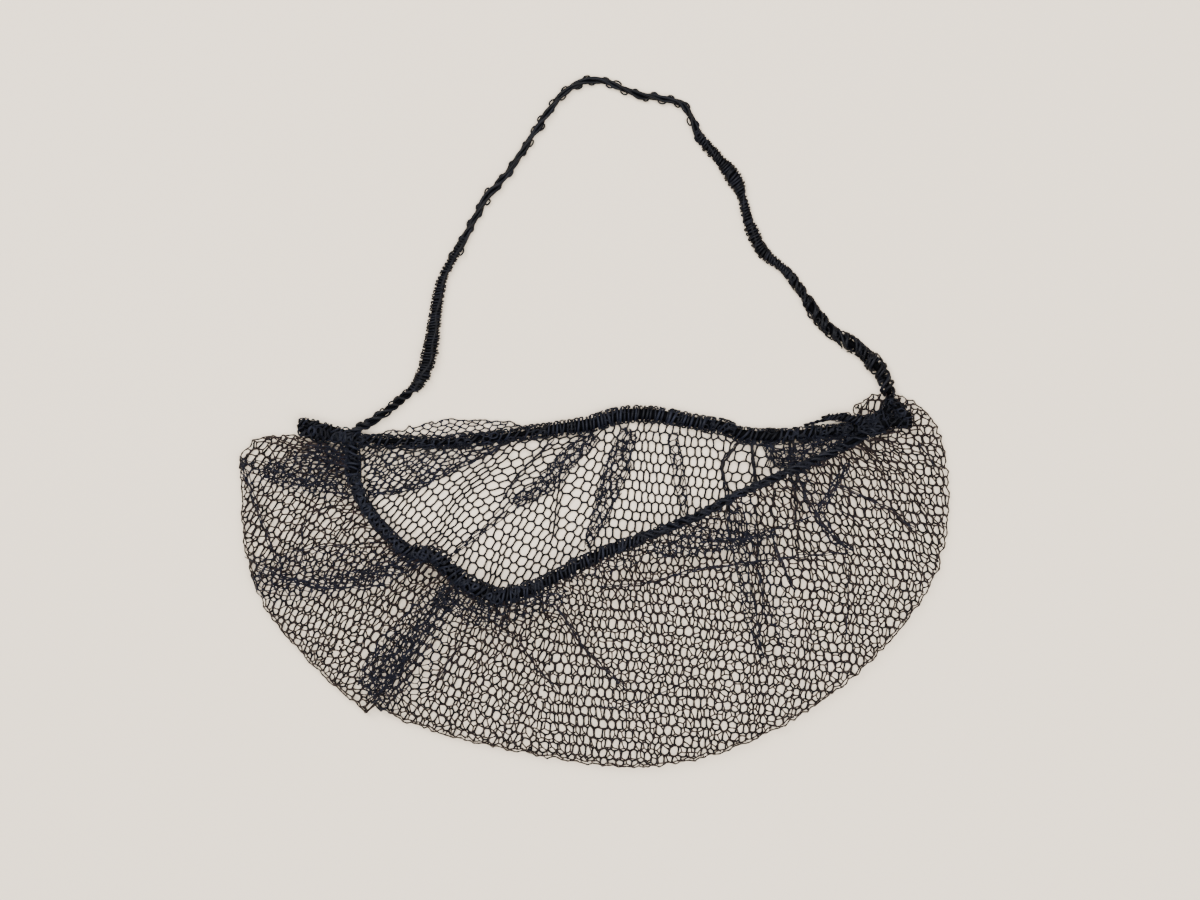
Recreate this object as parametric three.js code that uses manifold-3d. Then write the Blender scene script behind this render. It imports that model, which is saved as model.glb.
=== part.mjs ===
// Beard net lying on a table: a honeycomb net pouch gathered onto two elastic rim bands that leave its mouth
// open, a bunched tab at each corner of the mouth, and the elastic strap that goes round the head.
// Millimetres, +Z up. The origin is on the table under the middle of the pouch, and +Y points to the strap.
import * as THREE from "three";
import { mergeVertices } from "three/addons/utils/BufferGeometryUtils.js";
import Module from "manifold-3d";

const wasm = await Module();
wasm.setup();

// Driving sizes
const WALL = 1.0; // thickness of the net, strands and gathers together
const FOLD_RADIUS = 2.5; // half the height of the round fold where the front of the pouch turns into its back
const BAND_RADIUS = 2.0; // overlocked elastic round the mouth
const STRAP_RADIUS = 1.5; // overlocked elastic of the head strap
const CLEARANCE = 0.3; // gap between pieces that meet
const TABLE_GAP = 0.05; // from the table to the pieces that lie on it by themselves
const TAB_THICKNESS = 4.6;
const TAB_BEVEL = 1.1;

// Honeycomb gaps: the real mesh is finer, and this pitch keeps the count near a hundred.
const GAP_PITCH = 15.5; // from one gap's centre to the next
const RIB_WIDTH = 3.3; // net left between two gaps
const HEM = 4.5; // whole net kept along the rim bands
const FOLD_MARGIN = 3.5; // whole net kept along the fold
const CUT_REACH = 5.0; // how far a gap's cutter reaches above and below the front layer
const BACK_CUT_TOP = 4.2; // top of the cutters that open the back layer
const LOWEST_CUT_LAYER = 6.6; // the front layer is opened only where it stands this high
const GAP_RADIUS = (GAP_PITCH - RIB_WIDTH) / Math.sqrt(3); // from a gap's centre to its corners
const GAP_ROWS = 8; // rows and columns of gaps tried on each side of the first one
const FIRST_FRONT_GAP = { x: 0, y: -28 };
const FIRST_BACK_GAP = { x: GAP_PITCH / 2, y: -24 };

// Gathers: even ripples along both rims, which die away over this share of the layer.
const GATHER_HEIGHT = 1.1;
const GATHER_REACH = 0.42;

// Sections across the pouch, from the left corner of the mouth to the right one. Seen from above, each runs
// from the front rim out to the fold, and back under it to the back rim.
// front: the front band's centre; rise: its height; fold: the pouch's outer edge; back: the back band's
// centre; crown: how far the front layer bulges above a straight run from rim to fold.
const SECTIONS = [
  { front: [-75.0, 38.0], rise: 3.7, fold: [-82.0, 41.0], back: [-72.5, 43.4], crown: 0.0 },
  { front: [-74.5, 35.0], rise: 4.2, fold: [-97.0, 44.0], back: [-67.0, 43.0], crown: 0.5 },
  { front: [-73.8, 30.5], rise: 5.5, fold: [-108.0, 41.5], back: [-60.5, 43.0], crown: 1.0 },
  { front: [-72.0, 25.0], rise: 7.2, fold: [-110.0, 30.0], back: [-53.0, 43.3], crown: 2.0 },
  { front: [-68.0, 18.0], rise: 9.2, fold: [-108.5, 13.5], back: [-45.0, 44.0], crown: 3.0 },
  { front: [-60.5, 11.0], rise: 11.0, fold: [-104.0, -4.5], back: [-36.0, 45.0], crown: 3.5 },
  { front: [-51.0, 6.0], rise: 12.5, fold: [-91.0, -22.5], back: [-27.0, 45.8], crown: 4.0 },
  { front: [-42.5, 1.5], rise: 13.5, fold: [-71.0, -37.5], back: [-18.0, 46.6], crown: 4.0 },
  { front: [-31.5, -5.0], rise: 14.0, fold: [-43.0, -48.5], back: [-8.0, 48.2], crown: 4.0 },
  { front: [-18.0, -2.0], rise: 14.0, fold: [-11.0, -55.5], back: [2.5, 51.0], crown: 4.0 },
  { front: [-1.5, 5.0], rise: 13.5, fold: [17.0, -57.5], back: [12.5, 52.5], crown: 4.0 },
  { front: [15.5, 12.5], rise: 12.5, fold: [43.5, -51.5], back: [22.5, 52.0], crown: 4.0 },
  { front: [33.0, 20.3], rise: 11.5, fold: [67.5, -39.3], back: [33.0, 50.0], crown: 3.5 },
  { front: [50.0, 29.2], rise: 10.0, fold: [87.5, -22.5], back: [44.5, 47.4], crown: 3.0 },
  { front: [64.5, 35.7], rise: 8.0, fold: [102.5, -1.0], back: [55.5, 45.6], crown: 2.0 },
  { front: [75.0, 40.4], rise: 5.5, fold: [110.0, 20.0], back: [65.0, 45.4], crown: 1.0 },
  { front: [82.0, 42.8], rise: 4.2, fold: [109.0, 38.0], back: [73.0, 46.0], crown: 0.5 },
  { front: [88.5, 44.6], rise: 3.7, fold: [103.0, 48.6], back: [81.2, 47.5], crown: 0.0 },
];

// Where each band starts at the left tab, a little before the net does.
const BAND_STARTS = { front: [-75.0, 40.7, 3.7], back: [-73.6, 43.4, BAND_RADIUS] };

// Main pleats, besides the even gathers. layer: front or back; at: the section that the ridge runs along;
// spread: its half width, in sections; height: how far it stands up at the rim; reach: the share of the layer
// that it crosses before it is gone.
const PLEATS = [
  { layer: "front", at: 2.0, spread: 0.5, height: 1.2, reach: 0.9 },
  { layer: "front", at: 4.6, spread: 0.5, height: 2.2, reach: 0.9 },
  { layer: "front", at: 7.0, spread: 0.55, height: 2.6, reach: 1.0 },
  { layer: "front", at: 9.0, spread: 0.45, height: 1.8, reach: 0.7 },
  { layer: "front", at: 12.6, spread: 0.5, height: 2.0, reach: 0.8 },
  { layer: "front", at: 14.0, spread: 0.45, height: 1.5, reach: 0.6 },
  { layer: "back", at: 5.5, spread: 0.55, height: 1.4, reach: 0.6 },
  { layer: "back", at: 7.6, spread: 0.5, height: 1.8, reach: 0.6 },
  { layer: "back", at: 9.8, spread: 0.5, height: 1.6, reach: 0.6 },
  { layer: "back", at: 11.5, spread: 0.45, height: 1.4, reach: 0.5 },
  { layer: "back", at: 13.6, spread: 0.45, height: 1.2, reach: 0.5 },
];

// Corner tabs, as the circles at the corners of their outline, counter-clockwise. The left one lies on the
// back layer of the net, and the right one on the table.
const LEFT_TAB = {
  underside: WALL + CLEARANCE,
  corners: [
    { x: -89.0, y: 47.4, radius: 3.0 },
    { x: -77.2, y: 44.2, radius: 3.1 },
  ],
};
const RIGHT_TAB = {
  underside: TABLE_GAP,
  corners: [
    { x: 83.4, y: 49.0, radius: 2.0 },
    { x: 96.8, y: 51.6, radius: 2.3 },
    { x: 91.0, y: 55.6, radius: 1.9 },
  ],
};

// The strap's way over the table, from the left tab to the right one. lift: how far it is held off the table.
const STRAP_ROUTE = [
  { x: -74.4, y: 46.5, lift: 2.1 }, { x: -70.6, y: 48.5, lift: 1.5 }, { x: -64.5, y: 52.7, lift: 0.5 },
  { x: -58.4, y: 57.8, lift: 0 }, { x: -54.2, y: 61.4, lift: 0 }, { x: -52.2, y: 66.0, lift: 0 },
  { x: -50.6, y: 72.0, lift: 0 }, { x: -49.6, y: 79.0, lift: 0 }, { x: -47.4, y: 92.8, lift: 0 },
  { x: -44.3, y: 99.3, lift: 0 }, { x: -40.4, y: 106.2, lift: 0 }, { x: -33.4, y: 119.2, lift: 0 },
  { x: -28.8, y: 124.4, lift: 0 }, { x: -24.2, y: 130.5, lift: 0 }, { x: -15.4, y: 143.9, lift: 0 },
  { x: -11.2, y: 150.0, lift: 0 }, { x: -6.2, y: 154.2, lift: 0 }, { x: 0.0, y: 156.2, lift: 0 },
  { x: 6.2, y: 154.5, lift: 0 }, { x: 12.6, y: 151.4, lift: 0 }, { x: 19.2, y: 150.5, lift: 0 },
  { x: 24.9, y: 149.6, lift: 0 }, { x: 28.4, y: 148.0, lift: 0 }, { x: 30.3, y: 144.8, lift: 0 },
  { x: 31.4, y: 140.6, lift: 0 }, { x: 35.2, y: 135.5, lift: 0 }, { x: 39.6, y: 130.7, lift: 0 },
  { x: 43.9, y: 125.2, lift: 0 }, { x: 46.5, y: 119.4, lift: 0 }, { x: 47.5, y: 113.6, lift: 0 },
  { x: 50.0, y: 107.6, lift: 0 }, { x: 52.3, y: 102.3, lift: 0 }, { x: 57.0, y: 99.1, lift: 0 },
  { x: 61.8, y: 94.3, lift: 0 }, { x: 69.8, y: 82.1, lift: 0 }, { x: 75.2, y: 76.8, lift: 0 },
  { x: 82.0, y: 72.8, lift: 0 }, { x: 87.6, y: 67.6, lift: 0.2 }, { x: 90.8, y: 62.0, lift: 0.5 },
  { x: 91.9, y: 58.1, lift: 0.8 },
];

// How finely the curved surfaces are divided
const STEPS_PER_SECTION = 3;
const FRONT_STEPS = [0, 0.1, 0.26, 0.5, 0.78, 1];
const FOLD_ANGLES = [60, 120]; // between the front layer, at 0 degrees, and the back layer, at 180
const BACK_STEPS = [1, 0.92, 0.62, 0.36, 0.14, 0];
const BAND_SIDES = 8;
const BAND_STEPS = 34;
const STRAP_STEPS = 80;
const MERGE_DISTANCE = 1e-4; // vertices closer than this are one

const LAST_SECTION = SECTIONS.length - 1;
const COLUMNS = LAST_SECTION * STEPS_PER_SECTION;
const FOLD_TOP = WALL / 2 + 2 * FOLD_RADIUS;
const STRAP_LYING = STRAP_RADIUS + TABLE_GAP; // height of the strap's centre where it lies on the table
const EDGE_OFFSET = BAND_RADIUS + 2 * CLEARANCE; // from a band's centre to the edge of the net

// Curves through the sections. Their parameter runs from 0 at the left corner to 1 at the right one.
const curveThrough = (points) => new THREE.CatmullRomCurve3(points);
const frontRim = curveThrough(SECTIONS.map((s) => new THREE.Vector3(...s.front, s.rise)));
const backRim = curveThrough(SECTIONS.map((s) => new THREE.Vector3(...s.back, BAND_RADIUS)));
const foldLine = curveThrough(SECTIONS.map((s) => new THREE.Vector3(...s.fold, s.crown)));

// A curve's direction to its right as seen from above, which points from a rim into the pouch.
function rightOf(curve, u) {
  const step = 0.5 / COLUMNS;
  const ahead = curve.getPoint(Math.min(u + step, 1));
  const along = ahead.sub(curve.getPoint(Math.max(u - step, 0)));
  return new THREE.Vector3(along.y, -along.x, 0).normalize();
}

// Height of the gathers and pleats of one layer, at a share of the way from its rim to the fold.
function gatherHeight(layer, u, share) {
  const section = u * LAST_SECTION;
  const awayFromCorners = Math.sin(Math.PI * u) ** 0.5;
  const fade = Math.max(0, 1 - share / GATHER_REACH) ** 2;
  const ripple = (GATHER_HEIGHT * fade * (1 + Math.cos(2 * Math.PI * section))) / 2;
  const ridges = PLEATS.filter((p) => p.layer === layer).map(
    (p) => p.height * Math.exp(-(((section - p.at) / p.spread) ** 2)) * Math.max(0, 1 - share / p.reach),
  );
  return awayFromCorners * ridges.reduce((sum, ridge) => sum + ridge, ripple);
}

// The middle of the net at one section, as points from the front rim round the fold to the back rim.
function sectionPoints(u) {
  const front = frontRim.getPoint(u).addScaledVector(rightOf(frontRim, u), EDGE_OFFSET);
  const back = backRim.getPoint(u).addScaledVector(rightOf(backRim, u), EDGE_OFFSET);
  const fold = foldLine.getPoint(u);
  const crown = fold.z;
  const outward = rightOf(foldLine, u);
  const turn = new THREE.Vector3(fold.x, fold.y, 0).addScaledVector(outward, -FOLD_RADIUS);
  const frontLayer = FRONT_STEPS.map((share) => {
    const straight = THREE.MathUtils.lerp(front.z, FOLD_TOP, share);
    const bulge = crown * Math.sin(Math.PI * share);
    return front.clone().lerp(turn, share).setZ(straight + bulge + gatherHeight("front", u, share));
  });
  const round = FOLD_ANGLES.map((degrees) => {
    const angle = THREE.MathUtils.degToRad(degrees);
    const height = WALL / 2 + FOLD_RADIUS * (1 + Math.cos(angle));
    return turn.clone().addScaledVector(outward, FOLD_RADIUS * Math.sin(angle)).setZ(height);
  });
  const backLayer = BACK_STEPS.map((share) =>
    back.clone().lerp(turn, share).setZ(WALL / 2 + gatherHeight("back", u, share)),
  );
  return [...frontLayer, ...round, ...backLayer];
}

// Direction out of a grid of points at one of them, from its neighbours.
function gridNormal(grid, i, j) {
  const at = (a, b) =>
    grid[THREE.MathUtils.clamp(a, 0, grid.length - 1)][THREE.MathUtils.clamp(b, 0, grid[0].length - 1)];
  const across = at(i + 1, j).clone().sub(at(i - 1, j));
  const down = at(i, j + 1).clone().sub(at(i, j - 1));
  return down.cross(across).normalize();
}

// A closed wall of even thickness round a grid of points.
function wallGeometry(grid, thickness) {
  const rows = grid.length;
  const perRow = grid[0].length;
  const skin = (side) =>
    grid.flatMap((row, i) =>
      row.map((p, j) => p.clone().addScaledVector(gridNormal(grid, i, j), (side * thickness) / 2)),
    );
  const outer = skin(1);
  const inner = skin(-1);
  const index = [];
  const quad = (a, b, c, d) => index.push(a, b, c, a, c, d);
  const out = (i, j) => i * perRow + j;
  const inn = (i, j) => outer.length + i * perRow + j;
  for (let i = 0; i < rows - 1; i++) {
    for (let j = 0; j < perRow - 1; j++) {
      quad(out(i, j), out(i, j + 1), out(i + 1, j + 1), out(i + 1, j));
      quad(inn(i, j), inn(i + 1, j), inn(i + 1, j + 1), inn(i, j + 1));
    }
    quad(out(i, 0), out(i + 1, 0), inn(i + 1, 0), inn(i, 0));
    quad(out(i, perRow - 1), inn(i, perRow - 1), inn(i + 1, perRow - 1), out(i + 1, perRow - 1));
  }
  for (let j = 0; j < perRow - 1; j++) {
    quad(out(0, j), inn(0, j), inn(0, j + 1), out(0, j + 1));
    quad(out(rows - 1, j), out(rows - 1, j + 1), inn(rows - 1, j + 1), inn(rows - 1, j));
  }
  return new THREE.BufferGeometry().setFromPoints([...outer, ...inner]).setIndex(index);
}

// A three.js geometry as a solid that can be cut, and back again.
function toSolid(geometry) {
  const bare = geometry.clone().deleteAttribute("normal").deleteAttribute("uv");
  const merged = mergeVertices(bare, MERGE_DISTANCE);
  const vertProperties = merged.getAttribute("position").array;
  const triVerts = new Uint32Array(merged.index.array);
  return new wasm.Manifold(new wasm.Mesh({ numProp: 3, vertProperties, triVerts }));
}

function toGeometry(solid) {
  const mesh = solid.getMesh();
  const geometry = new THREE.BufferGeometry();
  geometry.setAttribute("position", new THREE.BufferAttribute(mesh.vertProperties, 3));
  geometry.setIndex(new THREE.BufferAttribute(mesh.triVerts, 1));
  geometry.computeVertexNormals();
  return geometry;
}

// Plan geometry for laying out the gaps
const planDistance = (p, q) => Math.hypot(p.x - q.x, p.y - q.y);
const nearest = (points, q) =>
  points.reduce((best, p) => (planDistance(p, q) < planDistance(best, q) ? p : best));

function insideOutline(outline, q) {
  let inside = false;
  outline.forEach((a, i) => {
    const b = outline[(i + 1) % outline.length];
    const crosses = a.y > q.y !== b.y > q.y;
    if (crosses && q.x < a.x + ((q.y - a.y) / (b.y - a.y)) * (b.x - a.x)) inside = !inside;
  });
  return inside;
}

// Centres of a honeycomb of gaps that fit between a rim and the fold, as seen from above.
function gapCentres(rim, fold, first) {
  const outline = [...rim, ...[...fold].reverse()];
  const rowStep = (GAP_PITCH * Math.sqrt(3)) / 2;
  const centres = [];
  for (let row = -GAP_ROWS; row <= GAP_ROWS; row++) {
    for (let column = -GAP_ROWS; column <= GAP_ROWS; column++) {
      const x = first.x + (column + (Math.abs(row) % 2) / 2) * GAP_PITCH;
      const centre = new THREE.Vector2(x, first.y + row * rowStep);
      const clearOfRim = planDistance(nearest(rim, centre), centre) > GAP_RADIUS + HEM;
      const clearOfFold = planDistance(nearest(fold, centre), centre) > GAP_RADIUS + FOLD_MARGIN;
      if (clearOfRim && clearOfFold && insideOutline(outline, centre)) centres.push(centre);
    }
  }
  return centres;
}

// A hexagonal cutter that stands on its end between two heights.
function hexagonCutter(centre, bottom, top) {
  const corner = (k) => {
    const angle = (k + 0.5) * (Math.PI / 3);
    const x = centre.x + GAP_RADIUS * Math.cos(angle);
    return new THREE.Vector2(x, centre.y + GAP_RADIUS * Math.sin(angle));
  };
  const hexagon = new THREE.Shape([0, 1, 2, 3, 4, 5].map(corner));
  const prism = new THREE.ExtrudeGeometry(hexagon, { depth: top - bottom, bevelEnabled: false });
  return toSolid(prism.translate(0, 0, bottom));
}

// The pouch: one net wall from rim to rim, opened by a honeycomb of gaps in each layer.
function pouchGeometry() {
  const grid = [];
  for (let i = 0; i <= COLUMNS; i++) grid.push(sectionPoints(i / COLUMNS));
  const wall = toSolid(wallGeometry(grid, WALL));
  const frontEnd = FRONT_STEPS.length;
  const frontPoints = grid.flatMap((points) => points.slice(0, frontEnd));
  const rimOf = (curve) => curve.getPoints(COLUMNS);
  const frontCutters = gapCentres(rimOf(frontRim), rimOf(foldLine), FIRST_FRONT_GAP)
    .map((centre) => ({ centre, height: nearest(frontPoints, centre).z }))
    .filter(({ height }) => height > LOWEST_CUT_LAYER)
    .map(({ centre, height }) => hexagonCutter(centre, height - CUT_REACH, height + CUT_REACH));
  const backCutters = gapCentres(rimOf(backRim), rimOf(foldLine), FIRST_BACK_GAP).map((centre) =>
    hexagonCutter(centre, -WALL, BACK_CUT_TOP),
  );
  return toGeometry([...frontCutters, ...backCutters].reduce((net, cutter) => net.subtract(cutter), wall));
}

// A round section for bands and strap, and a tube of it along a curve.
function tubeGeometry(curve, radius, steps) {
  const section = new THREE.Shape();
  section.setFromPoints(
    Array.from({ length: BAND_SIDES }, (_, k) => {
      const angle = (2 * Math.PI * k) / BAND_SIDES;
      return new THREE.Vector2(radius * Math.cos(angle), radius * Math.sin(angle));
    }),
  );
  return new THREE.ExtrudeGeometry(section, { steps, extrudePath: curve, bevelEnabled: false });
}

// A flat pad whose outline is pulled tight round its corner circles.
function tabGeometry({ underside, corners }) {
  const outline = new THREE.Shape();
  corners.forEach((circle, i) => {
    const heading = (a, b) => {
      const apart = Math.hypot(b.x - a.x, b.y - a.y);
      return Math.atan2(b.y - a.y, b.x - a.x) - Math.acos((a.radius - b.radius) / apart);
    };
    const before = corners[(i + corners.length - 1) % corners.length];
    const after = corners[(i + 1) % corners.length];
    const radius = circle.radius - TAB_BEVEL;
    outline.absarc(circle.x, circle.y, radius, heading(before, circle), heading(circle, after), false);
  });
  const tab = new THREE.ExtrudeGeometry(outline, {
    depth: TAB_THICKNESS - 2 * TAB_BEVEL,
    bevelThickness: TAB_BEVEL,
    bevelSize: TAB_BEVEL,
    bevelSegments: 2,
    curveSegments: 4,
  });
  return tab.translate(0, 0, underside + TAB_BEVEL);
}

// Materials: black nylon net, and overlocked elastic with a little more sheen.
const netNylon = new THREE.MeshStandardMaterial({ color: 0x17161b, roughness: 0.7, metalness: 0 });
const bandElastic = new THREE.MeshStandardMaterial({ color: 0x10121a, roughness: 0.6, metalness: 0 });
const strapElastic = new THREE.MeshStandardMaterial({ color: 0x131318, roughness: 0.6, metalness: 0 });

const beardNet = new THREE.Group();

function addPiece(name, geometry, material) {
  const piece = new THREE.Mesh(geometry, material);
  piece.name = name;
  beardNet.add(piece);
}

const frontBand = curveThrough([new THREE.Vector3(...BAND_STARTS.front), ...frontRim.points]);
const backBand = curveThrough([new THREE.Vector3(...BAND_STARTS.back), ...backRim.points]);
const strapCurve = curveThrough(STRAP_ROUTE.map((p) => new THREE.Vector3(p.x, p.y, STRAP_LYING + p.lift)));

addPiece("net_pouch", pouchGeometry(), netNylon);
addPiece("front_rim_band", tubeGeometry(frontBand, BAND_RADIUS, BAND_STEPS), bandElastic);
addPiece("back_rim_band", tubeGeometry(backBand, BAND_RADIUS, BAND_STEPS), bandElastic);
addPiece("left_corner_tab", tabGeometry(LEFT_TAB), bandElastic);
addPiece("right_corner_tab", tabGeometry(RIGHT_TAB), bandElastic);
addPiece("head_strap", tubeGeometry(strapCurve, STRAP_RADIUS, STRAP_STEPS), strapElastic);

export default beardNet;
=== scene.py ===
"""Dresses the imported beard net: a pouch of honeycomb net on two rim bands, corner tabs and a head strap.

Lengths are in metres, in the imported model's frame: +X along the mouth, +Y towards the strap, +Z up.
"""

from __future__ import annotations

import logging
import math
from collections.abc import Sequence
from copy import copy
from dataclasses import dataclass, field
from enum import Enum
from typing import NamedTuple

import bmesh
import bpy
import numpy as np
from mathutils import Matrix, Vector
from mathutils.kdtree import KDTree

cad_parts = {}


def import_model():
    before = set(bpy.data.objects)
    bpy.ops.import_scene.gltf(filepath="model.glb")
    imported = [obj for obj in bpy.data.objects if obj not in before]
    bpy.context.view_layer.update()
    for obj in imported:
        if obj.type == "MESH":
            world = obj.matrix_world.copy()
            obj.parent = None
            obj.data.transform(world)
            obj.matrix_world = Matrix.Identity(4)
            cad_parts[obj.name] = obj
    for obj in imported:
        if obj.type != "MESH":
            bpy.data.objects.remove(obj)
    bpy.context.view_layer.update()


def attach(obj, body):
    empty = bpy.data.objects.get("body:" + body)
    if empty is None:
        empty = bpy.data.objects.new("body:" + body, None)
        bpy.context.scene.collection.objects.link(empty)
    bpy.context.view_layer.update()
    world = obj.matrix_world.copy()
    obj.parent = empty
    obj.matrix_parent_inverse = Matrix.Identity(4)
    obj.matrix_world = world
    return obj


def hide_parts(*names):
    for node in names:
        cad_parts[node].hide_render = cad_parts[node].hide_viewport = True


LOG = logging.getLogger("beard_net")

BODY = "root"
UV_NAME = "thread"
TONE_NAME = "tone"
TINY = 1e-9

Array = np.ndarray
Random = np.random.Generator
Material = bpy.types.Material
Object = bpy.types.Object
Pair = tuple[float, float]
Place = tuple[float, float, float]
Station = tuple[float, float, float, float]
Colour = tuple[float, float, float, float]


class Slot(Enum):
    """The record's material slots."""

    NET = "net_nylon"
    BAND = "band_elastic"
    STRAP = "strap_elastic"


class Side(Enum):
    """A side of a line, seen along it."""

    LEFT = 1
    RIGHT = -1


def unit(vectors: Array) -> Array:
    """Scales vectors along the last axis to length one."""
    return vectors / np.maximum(np.linalg.norm(vectors, axis=-1, keepdims=True), TINY)


def ease(low: float, high: float, value: Array) -> Array:
    """Rises smoothly from 0 at low to 1 at high."""
    share = np.clip((value - low) / (high - low), 0.0, 1.0)
    return share * share * (3.0 - 2.0 * share)


def spin(angle: float) -> Array:
    """Gives the matrix that turns flat rows to the left by an angle."""
    return np.array([[math.cos(angle), math.sin(angle)], [-math.sin(angle), math.cos(angle)]])


def left_of(ahead: Array) -> Array:
    """Gives the flat directions to the left of given ones."""
    return ahead[..., ::-1] * np.array([-1.0, 1.0])


def paired(places: Array) -> Array:
    """Pairs each place on a line with the next."""
    return np.stack([places[:-1], places[1:]], axis=1)


class Wander:
    """A smooth random wave that is the same on every run."""

    TERMS = 6
    SPREAD = (0.6, 1.5)
    CALM = 1.5

    def __init__(self, rng: Random, scale: float, axes: int = 1) -> None:
        """Draws the wave.

        Args:
            rng: The source of random numbers.
            scale: The usual length of one wave.
            axes: How many coordinates the wave is read at.
        """
        turn = unit(rng.normal(size=(self.TERMS, axes)))
        self._waves = turn * rng.uniform(*self.SPREAD, (self.TERMS, 1)) * math.tau / scale
        self._starts = rng.uniform(0.0, math.tau, self.TERMS)

    def at(self, places: Array) -> Array:
        """Reads the wave, from about -1 to 1, at places of shape (n,) or (n, axes)."""
        places = places.reshape(len(places), -1)
        waves = np.sin(places @ self._waves.T + self._starts)
        return waves.sum(axis=1) / math.sqrt(self.TERMS * self.CALM)


class Route:
    """A smooth line through stations, walked by distance."""

    STEPS = 20

    def __init__(self, stations: Sequence[Sequence[float]], axes: int = 3) -> None:
        """Fits the line.

        Args:
            stations: Rows of a place, followed by any widths that change along the line.
            axes: How many numbers of a row are its place.
        """
        knots = np.asarray(stations, float)
        rows = np.vstack([2 * knots[0] - knots[1], knots, 2 * knots[-1] - knots[-2]])
        share = np.linspace(0.0, 1.0, self.STEPS, endpoint=False)[:, None]
        spans = []
        for before, start, end, after in zip(rows, rows[1:], rows[2:], rows[3:]):
            bend = (2 * before - 5 * start + 4 * end - after) * share**2
            bend = bend + (3 * start - before - 3 * end + after) * share**3
            spans.append(start + 0.5 * ((end - before) * share + bend))
        self.line = np.vstack([*spans, knots[-1:]])
        self.axes = axes
        steps = np.linalg.norm(np.diff(self.line[:, :axes], axis=0), axis=1)
        self.along = np.concatenate([[0.0], np.cumsum(steps)])
        self.length = float(self.along[-1])

    def at(self, distance: Array) -> Array:
        """Reads all columns of the stations at distances along the line."""
        columns = [np.interp(distance, self.along, column) for column in self.line.T]
        return np.stack(columns, axis=-1)

    def ahead(self, distance: Array) -> Array:
        """Gives the unit direction of the line at distances along it."""
        reach = self.length / len(self.line)
        behind = self.at(np.clip(distance - reach, 0.0, self.length))[..., : self.axes]
        front = self.at(np.clip(distance + reach, 0.0, self.length))[..., : self.axes]
        return unit(front - behind)

    def frame(self, distance: Array) -> tuple[Array, Array, Array]:
        """Gives the directions ahead, across to the left and up, at distances along a line in space."""
        ahead = self.ahead(distance)
        across = unit(np.cross(np.array([0.0, 0.0, 1.0]), ahead))
        return ahead, across, np.cross(ahead, across)

    def narrowed(self, rows: Sequence[Pair]) -> Route:
        """Copies a line in space whose fourth column is its half width.

        Args:
            rows: Pairs of a share of the length and the share of the half width that is kept there.

        Returns:
            The thinner line.
        """
        places, kept = np.array(rows).T
        thin = copy(self)
        thin.line = self.line.copy()
        thin.line[:, 3] *= np.interp(self.along / self.length, places, kept)
        return thin


class Nearest(NamedTuple):
    """Where points lie beside a flat line."""

    gap: Array
    distance: Array
    share: Array
    side: Array


def beside(points: Array, line: Array) -> Nearest:
    """Finds the nearest place on a flat line to each of many points.

    Args:
        points: Places of shape (n, 2).
        line: The line's corners, of shape (m, 2).

    Returns:
        The vector from the line, its length, the share of the line, and the side, 1 on the left.
    """
    starts, spans = line[:-1], np.diff(line, axis=0)
    lengths = np.linalg.norm(spans, axis=1)
    before = np.concatenate([[0.0], np.cumsum(lengths)])
    away = points[:, None, :] - starts[None]
    share = np.clip((away * spans).sum(-1) / np.maximum(lengths**2, TINY**2), 0.0, 1.0)
    gaps = away - share[..., None] * spans
    best = np.argmin((gaps**2).sum(-1), axis=1)
    rows = np.arange(len(points))
    gap, span = gaps[rows, best], spans[best]
    reached = (before[best] + share[rows, best] * lengths[best]) / before[-1]
    side = np.sign(span[:, 0] * gap[:, 1] - span[:, 1] * gap[:, 0])
    return Nearest(gap, np.linalg.norm(gap, axis=1), reached, side)


def inside(points: Array, border: Array) -> Array:
    """Tells which of many flat points lie inside a closed border.

    Args:
        points: Places of shape (n, 2).
        border: The border's corners, of shape (m, 2).

    Returns:
        True for each point inside.
    """
    start, end = border, np.roll(border, -1, axis=0)
    x, y = points[:, :1], points[:, 1:2]
    spans_y = (start[:, 1] > y) != (end[:, 1] > y)
    rise = np.where(np.abs(end[:, 1] - start[:, 1]) < TINY, TINY, end[:, 1] - start[:, 1])
    crossing = start[:, 0] + (y - start[:, 1]) * (end[:, 0] - start[:, 0]) / rise
    return (spans_y & (x < crossing)).sum(axis=1) % 2 == 1


class Ground:
    """The heights that a layer of net lies at."""

    def __init__(self, knots: Array) -> None:
        """Keeps the layer's knots, of shape (n, 3), for looking up."""
        self._heights = knots[:, 2]
        self._tree = KDTree(len(knots))
        for number, (x, y, _) in enumerate(knots):
            self._tree.insert((x, y, 0.0), number)
        self._tree.balance()

    def at(self, places: Array) -> Array:
        """Reads the height of the knot nearest to each of many flat places."""
        return self._heights[[self._tree.find((x, y, 0.0))[1] for x, y in places]]


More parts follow.
